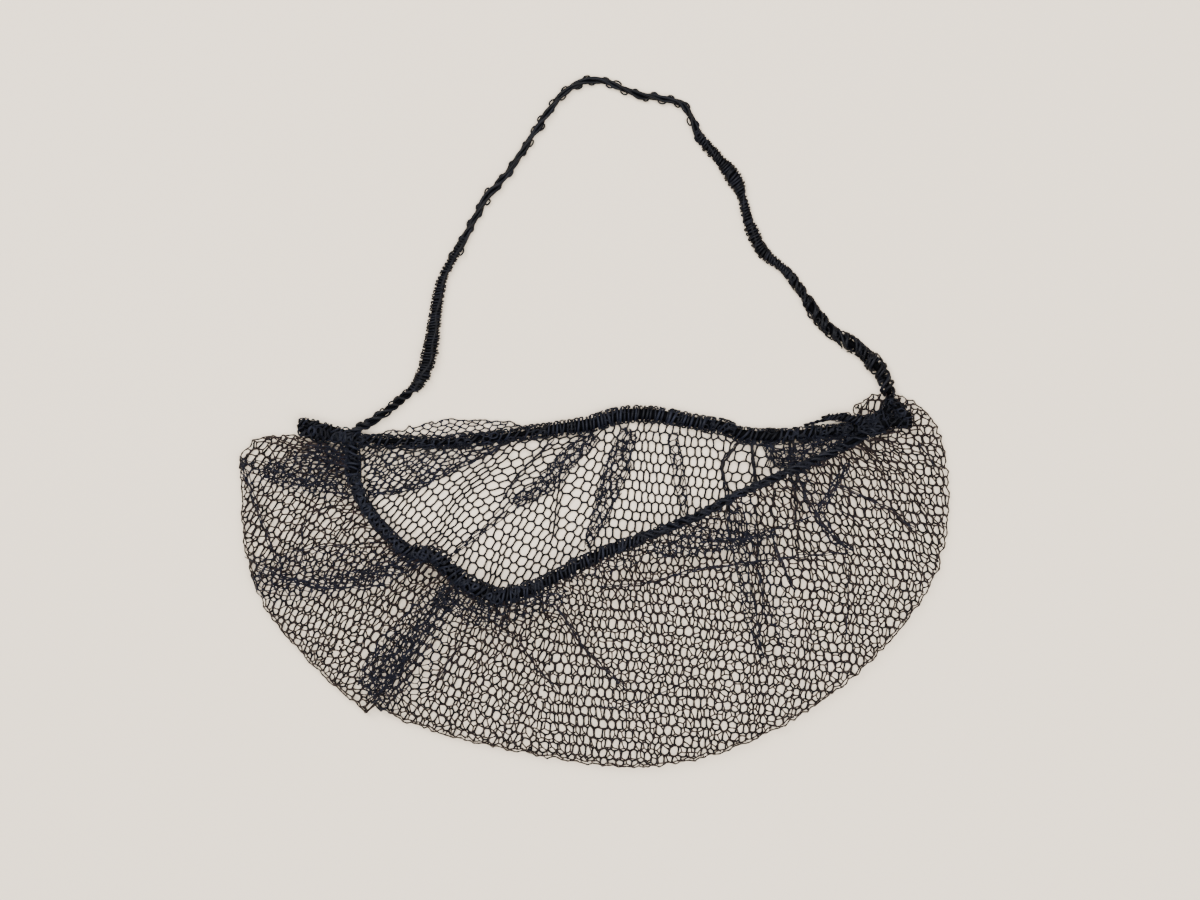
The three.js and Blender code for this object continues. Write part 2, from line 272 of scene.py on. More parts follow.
class ThreadBundle:
    """Many round threads that become one mesh."""

    def __init__(self) -> None:
        """Starts with no threads."""
        self._places: list[Array] = []
        self._quads: list[Array] = []
        self._uvs: list[Array] = []
        self._tones: list[Array] = []
        self._count = 0

    def add(self, paths: Array, radii: Array, tones: Array, sides: int) -> None:
        """Sweeps a round section along threads that have the same number of points.

        Args:
            paths: The threads' middle lines, of shape (threads, points, 3).
            radii: Their half thickness, of shape (threads, points).
            tones: One number from 0 to 1 for each thread, which its colour follows.
            sides: The even number of sides of a section.
        """
        threads, points, _ = paths.shape
        paths = paths.copy()
        paths[..., 2] = np.maximum(paths[..., 2], radii)
        ahead = unit(np.gradient(paths, axis=1))
        side = np.empty_like(paths)
        side[:, 0] = unit(np.cross(ahead[:, 0], np.eye(3)[np.argmin(np.abs(ahead[:, 0]), axis=1)]))
        for i in range(1, points):
            lean = (side[:, i - 1] * ahead[:, i]).sum(axis=1, keepdims=True)
            side[:, i] = unit(side[:, i - 1] - lean * ahead[:, i])
        top = np.cross(ahead, side)
        angle = np.arange(sides) * math.tau / sides
        ring = np.cos(angle)[:, None] * side[:, :, None] + np.sin(angle)[:, None] * top[:, :, None]
        places = paths[:, :, None] + radii[:, :, None, None] * ring

        index = np.arange(threads * points * sides).reshape(threads, points, sides) + self._count
        turned = np.roll(index, -1, axis=2)
        walls = np.stack([index[:, :-1], turned[:, :-1], turned[:, 1:], index[:, 1:]], axis=-1)
        fans = [(0, k, k + 1, k + 2) for k in range(1, sides - 2, 2)]
        last = np.stack([index[:, -1, list(fan)] for fan in fans], axis=1)
        first = np.stack([index[:, 0, list(fan[::-1])] for fan in fans], axis=1)

        steps = np.linalg.norm(np.diff(paths, axis=1), axis=2)
        along = np.concatenate([np.zeros((threads, 1)), np.cumsum(steps, axis=1)], axis=1)
        low = np.broadcast_to(along[:, :-1, None], walls.shape[:3])
        high = np.broadcast_to(along[:, 1:, None], walls.shape[:3])
        left = np.broadcast_to(np.arange(sides) / sides, walls.shape[:3])
        right = left + 1.0 / sides
        corners = [(low, left), (low, right), (high, right), (high, left)]
        wall_uvs = np.stack([np.stack(corner, axis=-1) for corner in corners], axis=-2)

        self._places.append(places.reshape(-1, 3))
        self._quads += [walls.reshape(-1, 4), first.reshape(-1, 4), last.reshape(-1, 4)]
        self._uvs += [wall_uvs.reshape(-1, 2), np.zeros((first.size + last.size, 2))]
        self._tones.append(np.repeat(tones, points * sides))
        self._count += threads * points * sides

    def build(self, name: str, material: Material) -> Object:
        """Makes one mesh of all the threads.

        Args:
            name: The object's name.
            material: Its finish.

        Returns:
            The object.
        """
        places, quads = np.vstack(self._places), np.vstack(self._quads)
        mesh = bpy.data.meshes.new(name)
        mesh.vertices.add(len(places))
        mesh.vertices.foreach_set("co", places.astype(np.float32).ravel())
        mesh.loops.add(quads.size)
        mesh.loops.foreach_set("vertex_index", quads.astype(np.int32).ravel())
        mesh.polygons.add(len(quads))
        mesh.polygons.foreach_set("loop_start", np.arange(0, quads.size, 4, dtype=np.int32))
        mesh.polygons.foreach_set("use_smooth", np.ones(len(quads), bool))
        mesh.update(calc_edges=True)
        uvs = mesh.uv_layers.new(name=UV_NAME)
        uvs.uv.foreach_set("vector", np.vstack(self._uvs).astype(np.float32).ravel())
        tones = mesh.attributes.new(TONE_NAME, "FLOAT", "POINT")
        tones.data.foreach_set("value", np.concatenate(self._tones).astype(np.float32))
        mesh.validate()
        mesh.materials.append(material)
        return placed(name, mesh)


def placed(name: str, mesh: bpy.types.Mesh) -> Object:
    """Puts a mesh into the scene as an object at the origin."""
    obj = bpy.data.objects.new(name, mesh)
    bpy.context.scene.collection.objects.link(obj)
    return obj


def dress(pieces: Sequence[Object], node: str) -> None:
    """Ties pieces to the body, and hides the solid that they replace.

    Args:
        pieces: The pieces.
        node: The solid's name.
    """
    for piece in pieces:
        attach(piece, BODY)
        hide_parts(node)


class Wire:
    """A shader value that Python's operators can work on."""

    def __init__(self, sheet: ShaderSheet, socket: bpy.types.NodeSocket) -> None:
        """Wraps a node's output socket."""
        self.sheet = sheet
        self.socket = socket

    def _math(self, operation: str, first: Wire | float, second: Wire | float) -> Wire:
        """Adds one Math node."""
        return self.sheet.node("ShaderNodeMath", {"operation": operation}, {0: first, 1: second})

    def __add__(self, other: Wire | float) -> Wire:
        """Adds a value."""
        return self._math("ADD", self, other)

    __radd__ = __add__

    def __mul__(self, other: Wire | float) -> Wire:
        """Multiplies by a value."""
        return self._math("MULTIPLY", self, other)

    __rmul__ = __mul__

    def __sub__(self, other: Wire | float) -> Wire:
        """Takes a value away."""
        return self._math("SUBTRACT", self, other)

    def __rsub__(self, other: Wire | float) -> Wire:
        """Is taken away from a value."""
        return self._math("SUBTRACT", other, self)


class ShaderSheet:
    """The nodes of one material."""

    MIX_SHARE, MIX_LOW, MIX_HIGH, MIX_COLOUR = 0, 6, 7, 2

    def __init__(self, name: str) -> None:
        """Starts a material with one Principled shader."""
        self.material = bpy.data.materials.new(name)
        self.material.use_nodes = True
        self._tree = self.material.node_tree
        self._shader = next(node for node in self._tree.nodes if node.type == "BSDF_PRINCIPLED")

    def node(
        self,
        kind: str,
        settings: dict | None = None,
        inputs: dict | None = None,
        output: int | str = 0,
    ) -> Wire:
        """Adds any node.

        Args:
            kind: The node's type.
            settings: Its own values, such as a Math node's operation, which are set first.
            inputs: Values or wires for its sockets, by name or number.
            output: The socket that the result stands for.

        Returns:
            The node's output.
        """
        node = self._tree.nodes.new(kind)
        for key, value in (settings or {}).items():
            setattr(node, key, value)
        for key, value in (inputs or {}).items():
            self._feed(node.inputs[key], value)
        return Wire(self, node.outputs[output])

    def _feed(self, socket: bpy.types.NodeSocket, value: Wire | float | Sequence[float]) -> None:
        """Links a wire to a socket or sets the socket's own value."""
        if isinstance(value, Wire):
            self._tree.links.new(value.socket, socket)
        else:
            socket.default_value = value

    def place(self) -> Wire:
        """Gives the place on the object."""
        return self.node("ShaderNodeTexCoord", output="Object")

    def noise(self, scale: float, detail: float) -> Wire:
        """Gives a cloudy value from 0 to 1 with so many clouds in a metre."""
        inputs = {"Vector": self.place(), "Scale": scale, "Detail": detail}
        return self.node("ShaderNodeTexNoise", None, inputs)

    def mixed(self, share: Wire, low: Colour, high: Colour) -> Wire:
        """Mixes two colours."""
        inputs = {self.MIX_SHARE: share, self.MIX_LOW: low, self.MIX_HIGH: high}
        return self.node("ShaderNodeMix", {"data_type": "RGBA"}, inputs, self.MIX_COLOUR)

    def finish(self, **sockets: Wire | float | Sequence[float]) -> Material:
        """Sets the shader's sockets, named with _ for a space, and returns the material."""
        for name, value in sockets.items():
            self._feed(self._shader.inputs[name.replace("_", " ")], value)
        return self.material


@dataclass(frozen=True)
class ThreadFinish:
    """Twisted nylon thread, nearly black with a blue cast where it catches the light."""

    PLIES = 2.0
    FIBRES, CLOUDS = (2600.0, 4.0), (90.0, 2.0)
    TONE_SHARE, PLY_SHARE, FIBRE_SHARE, CLOUD_SHARE = 0.45, 0.2, 0.2, 0.25
    FIBRE_ROUGHNESS, PLY_SHINE = 0.18, 0.1
    PLY_HEIGHT, FIBRE_HEIGHT = 0.7, 0.3
    BUMP = 0.7

    name: str
    dark: Colour
    light: Colour
    twist: float
    roughness: float
    relief: float
    gloss: float = 0.10

    def build(self) -> Material:
        """Makes the material.

        Returns:
            The material, whose plies follow the thread's UV map.
        """
        sheet = ShaderSheet(self.name)
        uv = sheet.node("ShaderNodeUVMap", {"uv_map": UV_NAME})
        along = sheet.node("ShaderNodeSeparateXYZ", None, {0: uv})
        around = Wire(sheet, along.socket.node.outputs[1])
        turn = (along * (1.0 / self.twist) + around) * math.tau
        ply = sheet.node("ShaderNodeMath", {"operation": "SINE"}, {0: turn * self.PLIES}) * 0.5 + 0.5
        tone = sheet.node("ShaderNodeAttribute", {"attribute_name": TONE_NAME}, None, "Fac")
        fibre = sheet.noise(*self.FIBRES)
        cloud = sheet.noise(*self.CLOUDS)
        share = tone * self.TONE_SHARE + ply * self.PLY_SHARE
        share = share + fibre * self.FIBRE_SHARE + cloud * self.CLOUD_SHARE
        colour = sheet.mixed(share * share, self.dark, self.light)
        rough = self.roughness + fibre * self.FIBRE_ROUGHNESS - ply * self.PLY_SHINE
        height = ply * self.PLY_HEIGHT + fibre * self.FIBRE_HEIGHT
        inputs = {"Strength": self.BUMP, "Distance": self.relief, "Height": height}
        bump = sheet.node("ShaderNodeBump", None, inputs)
        return sheet.finish(Base_Color=colour, Roughness=rough, Normal=bump, Specular_IOR_Level=self.gloss)


@dataclass(frozen=True)
class ElasticFinish:
    """Covered rubber elastic, matt and fibrous; its near-black colour is partly painted shade in the gaps
    between the stitches over it.
    """

    FIBRES, CLOUDS = (1500.0, 5.0), (240.0, 2.0)
    FIBRE_SHARE, CLOUD_SHARE = 0.6, 0.4
    BUMP, RELIEF = 0.8, 0.00015
    ROUGHNESS, CLOUD_ROUGHNESS = 0.62, 0.2

    name: str
    dark: Colour
    light: Colour
    gloss: float = 0.03

    def build(self) -> Material:
        """Makes the material.

        Returns:
            The material.
        """
        sheet = ShaderSheet(self.name)
        fibre = sheet.noise(*self.FIBRES)
        cloud = sheet.noise(*self.CLOUDS)
        colour = sheet.mixed(fibre * self.FIBRE_SHARE + cloud * self.CLOUD_SHARE, self.dark, self.light)
        inputs = {"Strength": self.BUMP, "Distance": self.RELIEF, "Height": fibre}
        bump = sheet.node("ShaderNodeBump", None, inputs)
        rough = self.ROUGHNESS + cloud * self.CLOUD_ROUGHNESS
        return sheet.finish(Base_Color=colour, Roughness=rough, Normal=bump, Specular_IOR_Level=self.gloss)


@dataclass(frozen=True)
class PaperFinish:
    """The pale, faintly uneven table top."""

    CLOUDS = (6.0, 3.0)
    ROUGHNESS = 0.85

    name: str
    dark: Colour
    light: Colour

    def build(self) -> Material:
        """Makes the material.

        Returns:
            The material.
        """
        sheet = ShaderSheet(self.name)
        cloud = sheet.noise(*self.CLOUDS)
        colour = sheet.mixed(cloud, self.dark, self.light)
        return sheet.finish(Base_Color=colour, Roughness=self.ROUGHNESS)


def swept_core(name: str, route: Route, flatness: float, material: Material) -> Object:
    """Sweeps a closed round core along a route whose fourth column is its half width.

    Args:
        name: The object's name.
        route: The line that the core follows.
        flatness: Its height over its width.
        material: Its finish.

    Returns:
        The core's object.
    """
    sides, step = 12, 0.0016
    distances = np.linspace(0.0, route.length, max(3, round(route.length / step)))
    stations = route.at(distances)
    ahead, across, up = route.frame(distances)
    grids = []
    for place, left, top, front in zip(stations, across, up, ahead):
        half = float(place[3])
        axes = Matrix([Vector(left) * half, Vector(top) * half * flatness, Vector(front) * half])
        grid = axes.transposed().to_4x4()
        grid.translation = Vector(place[:3])
        grids.append(grid)
    shell = bmesh.new()
    ring = bmesh.ops.create_circle(shell, cap_ends=True, segments=sides, radius=1.0)["verts"]
    bmesh.ops.transform(shell, matrix=grids[0], verts=ring)
    edges = list(shell.edges)
    for before, after in zip(grids, grids[1:]):
        grown = bmesh.ops.extrude_edge_only(shell, edges=edges)["geom"]
        ring = [part for part in grown if isinstance(part, bmesh.types.BMVert)]
        edges = [part for part in grown if isinstance(part, bmesh.types.BMEdge)]
        edges = [edge for edge in edges if all(vert in ring for vert in edge.verts)]
        bmesh.ops.transform(shell, matrix=after @ before.inverted(), verts=ring)
    bmesh.ops.contextual_create(shell, geom=edges)
    bmesh.ops.recalc_face_normals(shell, faces=shell.faces)
    mesh = bpy.data.meshes.new(name)
    shell.to_mesh(mesh)
    shell.free()
    mesh.shade_smooth()
    mesh.materials.append(material)
    return placed(name, mesh)


@dataclass(frozen=True)
class Stitch:
    """Threads along a stretch of a route, from one share of its length to another."""

    span: Pair = (0.0, 1.0)
    flatness: float = 0.85
    uneven: float = 0.15

    def sew(self, route: Route, bundle: ThreadBundle, rng: Random) -> None:
        """Adds the threads to a bundle.

        Args:
            route: The line that they follow, whose fourth column is its half width.
            bundle: Takes the threads.
            rng: The source of random numbers.
        """
        raise NotImplementedError

    def ends(self, route: Route) -> Pair:
        """Gives the distances along the route that the stretch starts and ends at."""
        return self.span[0] * route.length, self.span[1] * route.length

    def spots(self, route: Route, spacing: float, rng: Random) -> Array:
        """Gives uneven distances along the stretch.

        Args:
            route: The line that they lie on.
            spacing: The usual distance between them.
            rng: The source of random numbers.

        Returns:
            The distances, of shape (n, 1).
        """
        start, end = self.ends(route)
        count = max(1, round((end - start) / spacing))
        places = start + (np.arange(count) + 0.5) * (end - start) / count
        return (places + rng.normal(size=count) * spacing * self.uneven)[:, None]

    def around(self, route: Route, distance: Array, angle: Array, swell: Array) -> Array:
        """Gives places round the route.

        Args:
            route: The line, whose fourth column is its half width.
            distance: How far along it each place is.
            angle: The angle of each from the line's left side.
            swell: How far out each is, in half widths.

        Returns:
            The places.
        """
        distance = np.clip(distance, 0.0, route.length)
        _, across, up = route.frame(distance)
        stations = route.at(distance)
        wide = stations[..., 3] * swell
        sideways = across * (wide * np.cos(angle))[..., None]
        return stations[..., :3] + sideways + up * (wide * self.flatness * np.sin(angle))[..., None]


@dataclass(frozen=True)
class Ribs(Stitch):
    """Thick threads, each wound once round the route, side by side."""

    POINTS, FACETS = 10, 6
    WRAP, TWIST = 0.94, 0.2
    WOBBLE, SWELLS = 0.4, (0.85, 1.2)
    THICKNESSES = (0.8, 1.12)
    TONES = (1.4, 1.5)

    thick: float = 0.00038
    spacing: float = 0.0011
    slant: float = 0.0006
    lean: float = 0.0002
    ragged: float = 0.05

    def sew(self, route: Route, bundle: ThreadBundle, rng: Random) -> None:
        """Adds the ribs, which meet underneath."""
        spots = self.spots(route, self.spacing, rng)
        count = len(spots)
        turn = np.linspace(0.0, math.tau * self.WRAP, self.POINTS)
        angle = turn + rng.uniform(-self.TWIST, self.TWIST, (count, 1)) - math.pi * self.WRAP / 2
        lean = self.slant + rng.normal(size=(count, 1)) * self.lean
        wobble = rng.normal(size=(count, 1)) + self.WOBBLE * rng.normal(size=(count, self.POINTS))
        swell = np.clip(1.0 + self.ragged * wobble, *self.SWELLS)
        paths = self.around(route, spots + lean * np.cos(angle), angle, swell)
        thick = self.thick * rng.uniform(*self.THICKNESSES, (count, 1))
        radii = np.repeat(thick, self.POINTS, axis=1)
        bundle.add(paths, radii, rng.beta(*self.TONES, count), self.FACETS)


@dataclass(frozen=True)
class CrossLoops(Stitch):
    """Crocheted loops that lie over one another, all round the route."""

    POINTS, FACETS = 10, 4
    ROUND, LONG, WIDE = 0.92, 1.15, 0.8
    SIZES = (0.6, 1.35)
    LIFTS, WOBBLE = (0.3, 1.4), 0.05
    THICKNESSES = (0.75, 1.1)
    TONES = (1.2, 1.6)

    cover: float = 0.3
    size: float = 0.0009
    thread: float = 0.00021

    def sew(self, route: Route, bundle: ThreadBundle, rng: Random) -> None:
        """Adds the loops."""
        start, end = self.ends(route)
        half = float(route.line[:, 3].mean())
        count = round(self.cover * (end - start) * math.tau * half / (math.pi * self.size**2))
        turn = np.linspace(0.0, math.tau * self.ROUND, self.POINTS)
        angle = turn + rng.uniform(0.0, math.tau, (count, 1))
        size = self.size * rng.uniform(*self.SIZES, (count, 1))
        distance = rng.uniform(start, end, (count, 1)) + size * self.LONG * np.cos(angle)
        facing = rng.uniform(0.0, math.tau, (count, 1)) + size * self.WIDE / half * np.sin(angle)
        lift = rng.uniform(*self.LIFTS, (count, 1)) * self.thread / half
        swell = 1.0 + lift + self.WOBBLE * rng.normal(size=(count, self.POINTS))
        paths = self.around(route, distance, facing, swell)
        thick = self.thread * rng.uniform(*self.THICKNESSES, (count, 1))
        radii = np.repeat(thick, self.POINTS, axis=1)
        bundle.add(paths, radii, rng.beta(*self.TONES, count), self.FACETS)


@dataclass(frozen=True)
class SideLoops(Stitch):
    """Small loops that stand out along the sides of the route."""

    POINTS, FACETS = 9, 4
    OVERLAP = 0.8
    SIZES = (0.65, 1.35)
    HEIGHTS = (-0.4, 0.7)
    TONES = (1.2, 1.8)

    spacing: float = 0.002
    size: float = 0.0005
    base: float = 0.95
    long: float = 1.3
    thread: float = 0.0002
    sides: tuple[Side, ...] = (Side.LEFT, Side.RIGHT)

    def sew(self, route: Route, bundle: ThreadBundle, rng: Random) -> None:
        """Adds the loops, those on one side between those on the other."""
        angle = np.linspace(-self.OVERLAP, math.pi + self.OVERLAP, self.POINTS)
        for number, side in enumerate(self.sides):
            spots = self.spots(route, self.spacing, rng) + self.spacing * number / 2
            count = len(spots)
            size = self.size * rng.uniform(*self.SIZES, (count, 1))
            distance = np.clip(spots + size * self.long * np.cos(angle), 0.0, route.length)
            _, across, up = route.frame(distance)
            stations = route.at(distance)
            out = stations[..., 3] * self.base + size * np.sin(angle)
            height = rng.uniform(*self.HEIGHTS, (count, 1)) * stations[..., 3] * self.flatness
            paths = stations[..., :3] + across * (side.value * out)[..., None] + up * height[..., None]
            radii = np.full((count, self.POINTS), self.thread)
            bundle.add(paths, radii, rng.beta(*self.TONES, count), self.FACETS)


@dataclass(frozen=True)
class Plies(Stitch):
    """Smooth plies that are loosely twisted together along the route."""

    FACETS = 6
    SUNK = 0.35
    SWAY_WAVE = 0.014
    REACH_SWAY, REACH_WAVE = 0.12, 0.006
    THICK_SWAY, THICK_WAVE = 0.16, 0.005
    TONES = (0.2, 0.8)

    thick: float = 0.0004
    pitch: float = 0.012
    count: int = 3
    start: float = 0.4
    sway: float = 0.9
    step: float = 0.0005

    def sew(self, route: Route, bundle: ThreadBundle, rng: Random) -> None:
        """Adds the plies."""
        start, end = self.ends(route)
        along = np.linspace(start, end, max(4, round((end - start) / self.step)))
        reach = 1.0 - self.SUNK * self.thick / np.maximum(route.at(along)[:, 3], self.thick)
        for ply in range(self.count):
            turn = self.start + math.tau * (along / self.pitch + ply / self.count)
            angle = turn + self.sway * Wander(rng, self.SWAY_WAVE).at(along)
            swell = reach * (1.0 + self.REACH_SWAY * Wander(rng, self.REACH_WAVE).at(along))
            path = self.around(route, along, angle, swell)
            radii = self.thick * (1.0 + self.THICK_SWAY * Wander(rng, self.THICK_WAVE).at(along))
            bundle.add(path[None], radii[None], rng.uniform(*self.TONES, 1), self.FACETS)


@dataclass(frozen=True)
class Rings(Stitch):
    """Thick crocheted loops that lie along the top of the route."""

    POINTS, FACETS = 14, 6
    ROUND, SHORT, LONG = 0.97, 0.75, 1.2
    TURN = 0.8
    SIZES = (0.75, 1.25)
    LIFTS = (0.3, 1.3)
    THICKNESSES = (0.8, 1.1)
    TONES = (1.6, 1.4)

    spacing: float = 0.002
    size: float = 0.0012
    thread: float = 0.00038
    spread: float = 0.4

    def sew(self, route: Route, bundle: ThreadBundle, rng: Random) -> None:
        """Adds the rings, draped over the route."""
        spots = self.spots(route, self.spacing, rng)
        count = len(spots)
        circle = np.linspace(0.0, math.tau * self.ROUND, self.POINTS)
        angle = circle + rng.uniform(0.0, math.tau, (count, 1))
        turn = rng.uniform(-self.TURN, self.TURN, (count, 1))
        size = self.size * rng.uniform(*self.SIZES, (count, 1))
        short, long = size * self.SHORT * np.cos(angle), size * self.LONG * np.sin(angle)
        distance = np.clip(spots + short * np.cos(turn) - long * np.sin(turn), 0.0, route.length)
        _, across, up = route.frame(distance)
        stations = route.at(distance)
        half = stations[..., 3]
        aside = short * np.sin(turn) + long * np.cos(turn)
        aside = aside + rng.uniform(-self.spread, self.spread, (count, 1)) * half
        height = self.flatness * np.sqrt(np.clip(half**2 - aside**2, 0.0, None))
        height += self.thread * rng.uniform(*self.LIFTS, (count, 1))
        paths = stations[..., :3] + across * aside[..., None] + up * height[..., None]
        thick = self.thread * rng.uniform(*self.THICKNESSES, (count, 1))
        radii = np.repeat(thick, self.POINTS, axis=1)
        bundle.add(paths, radii, rng.beta(*self.TONES, count), self.FACETS)


@dataclass(frozen=True)
class LooseLoops:
    """Small curled loops of loose thread."""

    POINTS, FACETS = 12, 4
    ROUND, OVAL = 0.85, 0.7
    FLATTENED = (1.0, 1.0, 0.5)
    SIZES = (0.6, 1.5)

    spread: float = 0.0010
    size: float = 0.0010
    thread: float = 0.00024

    def sew(self, spots: Array, bundle: ThreadBundle, rng: Random) -> None:
        """Adds a loop near each of given spots.

        Args:
            spots: The spots, of shape (n, 3).
            bundle: Takes the threads.
            rng: The source of random numbers.
        """
        count = len(spots)
        angle = np.linspace(0.0, math.tau * self.ROUND, self.POINTS)
        middle = spots + rng.normal(size=(count, 3)) * self.spread * np.array(self.FLATTENED)
        first = unit(rng.normal(size=(count, 3)))
        second = unit(np.cross(first, rng.normal(size=(count, 3))))
        radius = self.size * rng.uniform(*self.SIZES, (count, 1, 1))
        cosine, sine = np.cos(angle)[:, None], np.sin(angle)[:, None]
        curl = first[:, None] * cosine + self.OVAL * second[:, None] * sine
        radii = np.full((count, self.POINTS), self.thread)
        bundle.add(middle[:, None] + radius * curl, radii, rng.uniform(0.0, 1.0, count), self.FACETS)


@dataclass
class Honeycomb:
    """A flat honeycomb of net, before it is shaped."""

    cell: float
    upright: float
    rise: float
    low: Pair
    high: Pair
    knots: Array = field(init=False)
    strands: Array = field(init=False)

    def __post_init__(self) -> None:
        """Lays out the knots in rows of zigzag, and the strands between them."""
        columns = math.ceil((self.high[0] - self.low[0]) / (self.cell / 2)) + 1
        rows = math.ceil((self.high[1] - self.low[1]) / (self.upright + self.rise)) + 1
        row, column = np.mgrid[0:rows, 0:columns]
        crest = (row + column) % 2 == 0
        x = self.low[0] + column * self.cell / 2
        y = self.low[1] + row * (self.upright + self.rise) + crest * self.rise
        self.knots = np.stack([x, y], axis=-1).reshape(-1, 2)
        index = np.arange(rows * columns).reshape(rows, columns)
        zigzag = np.stack([index[:, :-1], index[:, 1:]], axis=-1).reshape(-1, 2)
        posts = np.stack([index[:-1], index[1:]], axis=-1)[crest[:-1]]
        self.strands = np.vstack([zigzag, posts])


class Crease(NamedTuple):
    """One crease pressed into a layer of net."""

    route: tuple[Pair, ...]
    reach: float
    pinch: float
    lift: float
    lines: int = 2


class Pleat(NamedTuple):
    """A strip where the net runs forward, back and forward again, so that it lies three deep.

    Each row is a level, the strip's middle there and its width. The slack that it takes up comes from
    net that was laid out for it, or else is drawn from the left in the given part.
    """

    FLAT_SPAN, SETTLE_REACH, FULL_WIDTH = 1.5, 0.004, 0.002

    rows: tuple[Place, ...]
    inserted: float = 0.0
    from_left: float = 0.5
    reach: float = 0.3
    lift: float = 0.0005

    def fold(self, place: Array, level: Array) -> tuple[Array, Array]:
        """Folds places along one axis.

        Args:
            place: Places along the axis.
            level: The level across it that each is at.

        Returns:
            The folded places, and the height that the layers below add.
        """
        levels, middles, widths = np.array(sorted(self.rows)).T
        middle, width = np.interp(level, levels, middles), np.interp(level, levels, widths)
        extra = width - self.inserted
        gap = place - (middle + width - 2 * extra * self.from_left)
        beyond = np.maximum(np.abs(gap) - self.FLAT_SPAN * width, 0.0)
        fade = np.exp(-beyond / self.reach)
        left = place + 2 * extra * self.from_left * fade
        right = place - 2 * self.inserted - 2 * extra * (1.0 - self.from_left) * fade
        over, turned = gap > width / 2, np.abs(gap) <= width / 2
        folded = np.where(turned, middle - gap, np.where(over, right, left))
        settle = np.exp(-beyond / self.SETTLE_REACH) * np.minimum(width / self.FULL_WIDTH, 1.0)
        return folded, self.lift * np.where(turned, 1.0, np.where(over, 2.0, 0.0)) * settle


class Fold(NamedTuple):
    """A strip where the net lies folded over itself, given by places along it and its half width there."""

    route: tuple[Place, ...]
    layers: int = 1
    squeeze: float = 0.7
    lines: int = 0


class Panel(NamedTuple):
    """A part of the back layer between pleats, where the net lies at its own angle.

    The net is turned by so many degrees clockwise, and turns on by so many for each metre along it.
    """

    turn: float
    bend: float
    cell: float
    upright: float
    zigzag: float
    middle: Pair
    corners: tuple[Pair, ...]

    def lay(self, flat: Array) -> Array:
        """Lays the flat net on the table.

        Args:
            flat: Knots of the flat net, of shape (n, 2).

        Returns:
            Their flat places on the table.
        """
        across, along = flat.T
        arc = math.radians(self.bend) * along
        sag = along * arc / 2 * np.sinc(arc / math.tau) ** 2
        middle = np.stack([sag, along * np.sinc(arc / math.pi)], axis=1)
        bent = middle + across[:, None] * np.stack([np.cos(arc), -np.sin(arc)], axis=1)
        return bent @ spin(-math.radians(self.turn)) + np.array(self.middle)


class Section(NamedTuple):
    """One line across the front layer, from its rim band to the fold of the pouch."""

    rim: Pair
    rise: float
    fold: Pair
    crown: float


SECTIONS = (
    Section((-0.0750, 0.0382), 0.0037, (-0.0840, 0.0436), 0.0),
    Section((-0.0748, 0.0366), 0.0039, (-0.0950, 0.0452), 0.0003),
    Section((-0.0744, 0.0340), 0.0044, (-0.1040, 0.0443), 0.0006),
    Section((-0.0738, 0.0305), 0.0055, (-0.1094, 0.0384), 0.0010),
    Section((-0.0724, 0.0260), 0.0068, (-0.1092, 0.0270), 0.0020),
    Section((-0.0679, 0.0196), 0.0090, (-0.1084, 0.0120), 0.0030),
    Section((-0.0608, 0.0124), 0.0110, (-0.1036, -0.0046), 0.0035),
    Section((-0.0520, 0.0082), 0.0125, (-0.0925, -0.0200), 0.0040),
    Section((-0.0440, 0.0036), 0.0135, (-0.0730, -0.0370), 0.0040),
    Section((-0.0315, -0.0042), 0.0140, (-0.0445, -0.0478), 0.0040),
    Section((-0.0180, -0.0016), 0.0140, (-0.0115, -0.0548), 0.0040),
    Section((-0.0015, 0.0069), 0.0135, (0.0165, -0.0574), 0.0040),
    Section((0.0155, 0.0139), 0.0125, (0.0435, -0.0516), 0.0040),
    Section((0.0330, 0.0210), 0.0115, (0.0670, -0.0396), 0.0035),
    Section((0.0500, 0.0294), 0.0100, (0.0870, -0.0236), 0.0030),
    Section((0.0645, 0.0359), 0.0080, (0.1023, -0.0050), 0.0020),
    Section((0.0750, 0.0406), 0.0055, (0.1090, 0.0120), 0.0010),
    Section((0.0820, 0.0432), 0.0042, (0.1100, 0.0330), 0.0005),
    Section((0.0880, 0.0450), 0.0037, (0.1070, 0.0470), 0.0002),
    Section((0.0905, 0.0468), 0.0034, (0.1010, 0.0546), 0.0),
    Section((0.0885, 0.0486), 0.0032, (0.0915, 0.0586), 0.0),
    Section((0.0835, 0.0488), 0.0032, (0.0840, 0.0566), 0.0),
    Section((0.0805, 0.0488), 0.0032, (0.0795, 0.0532), 0.0),
)

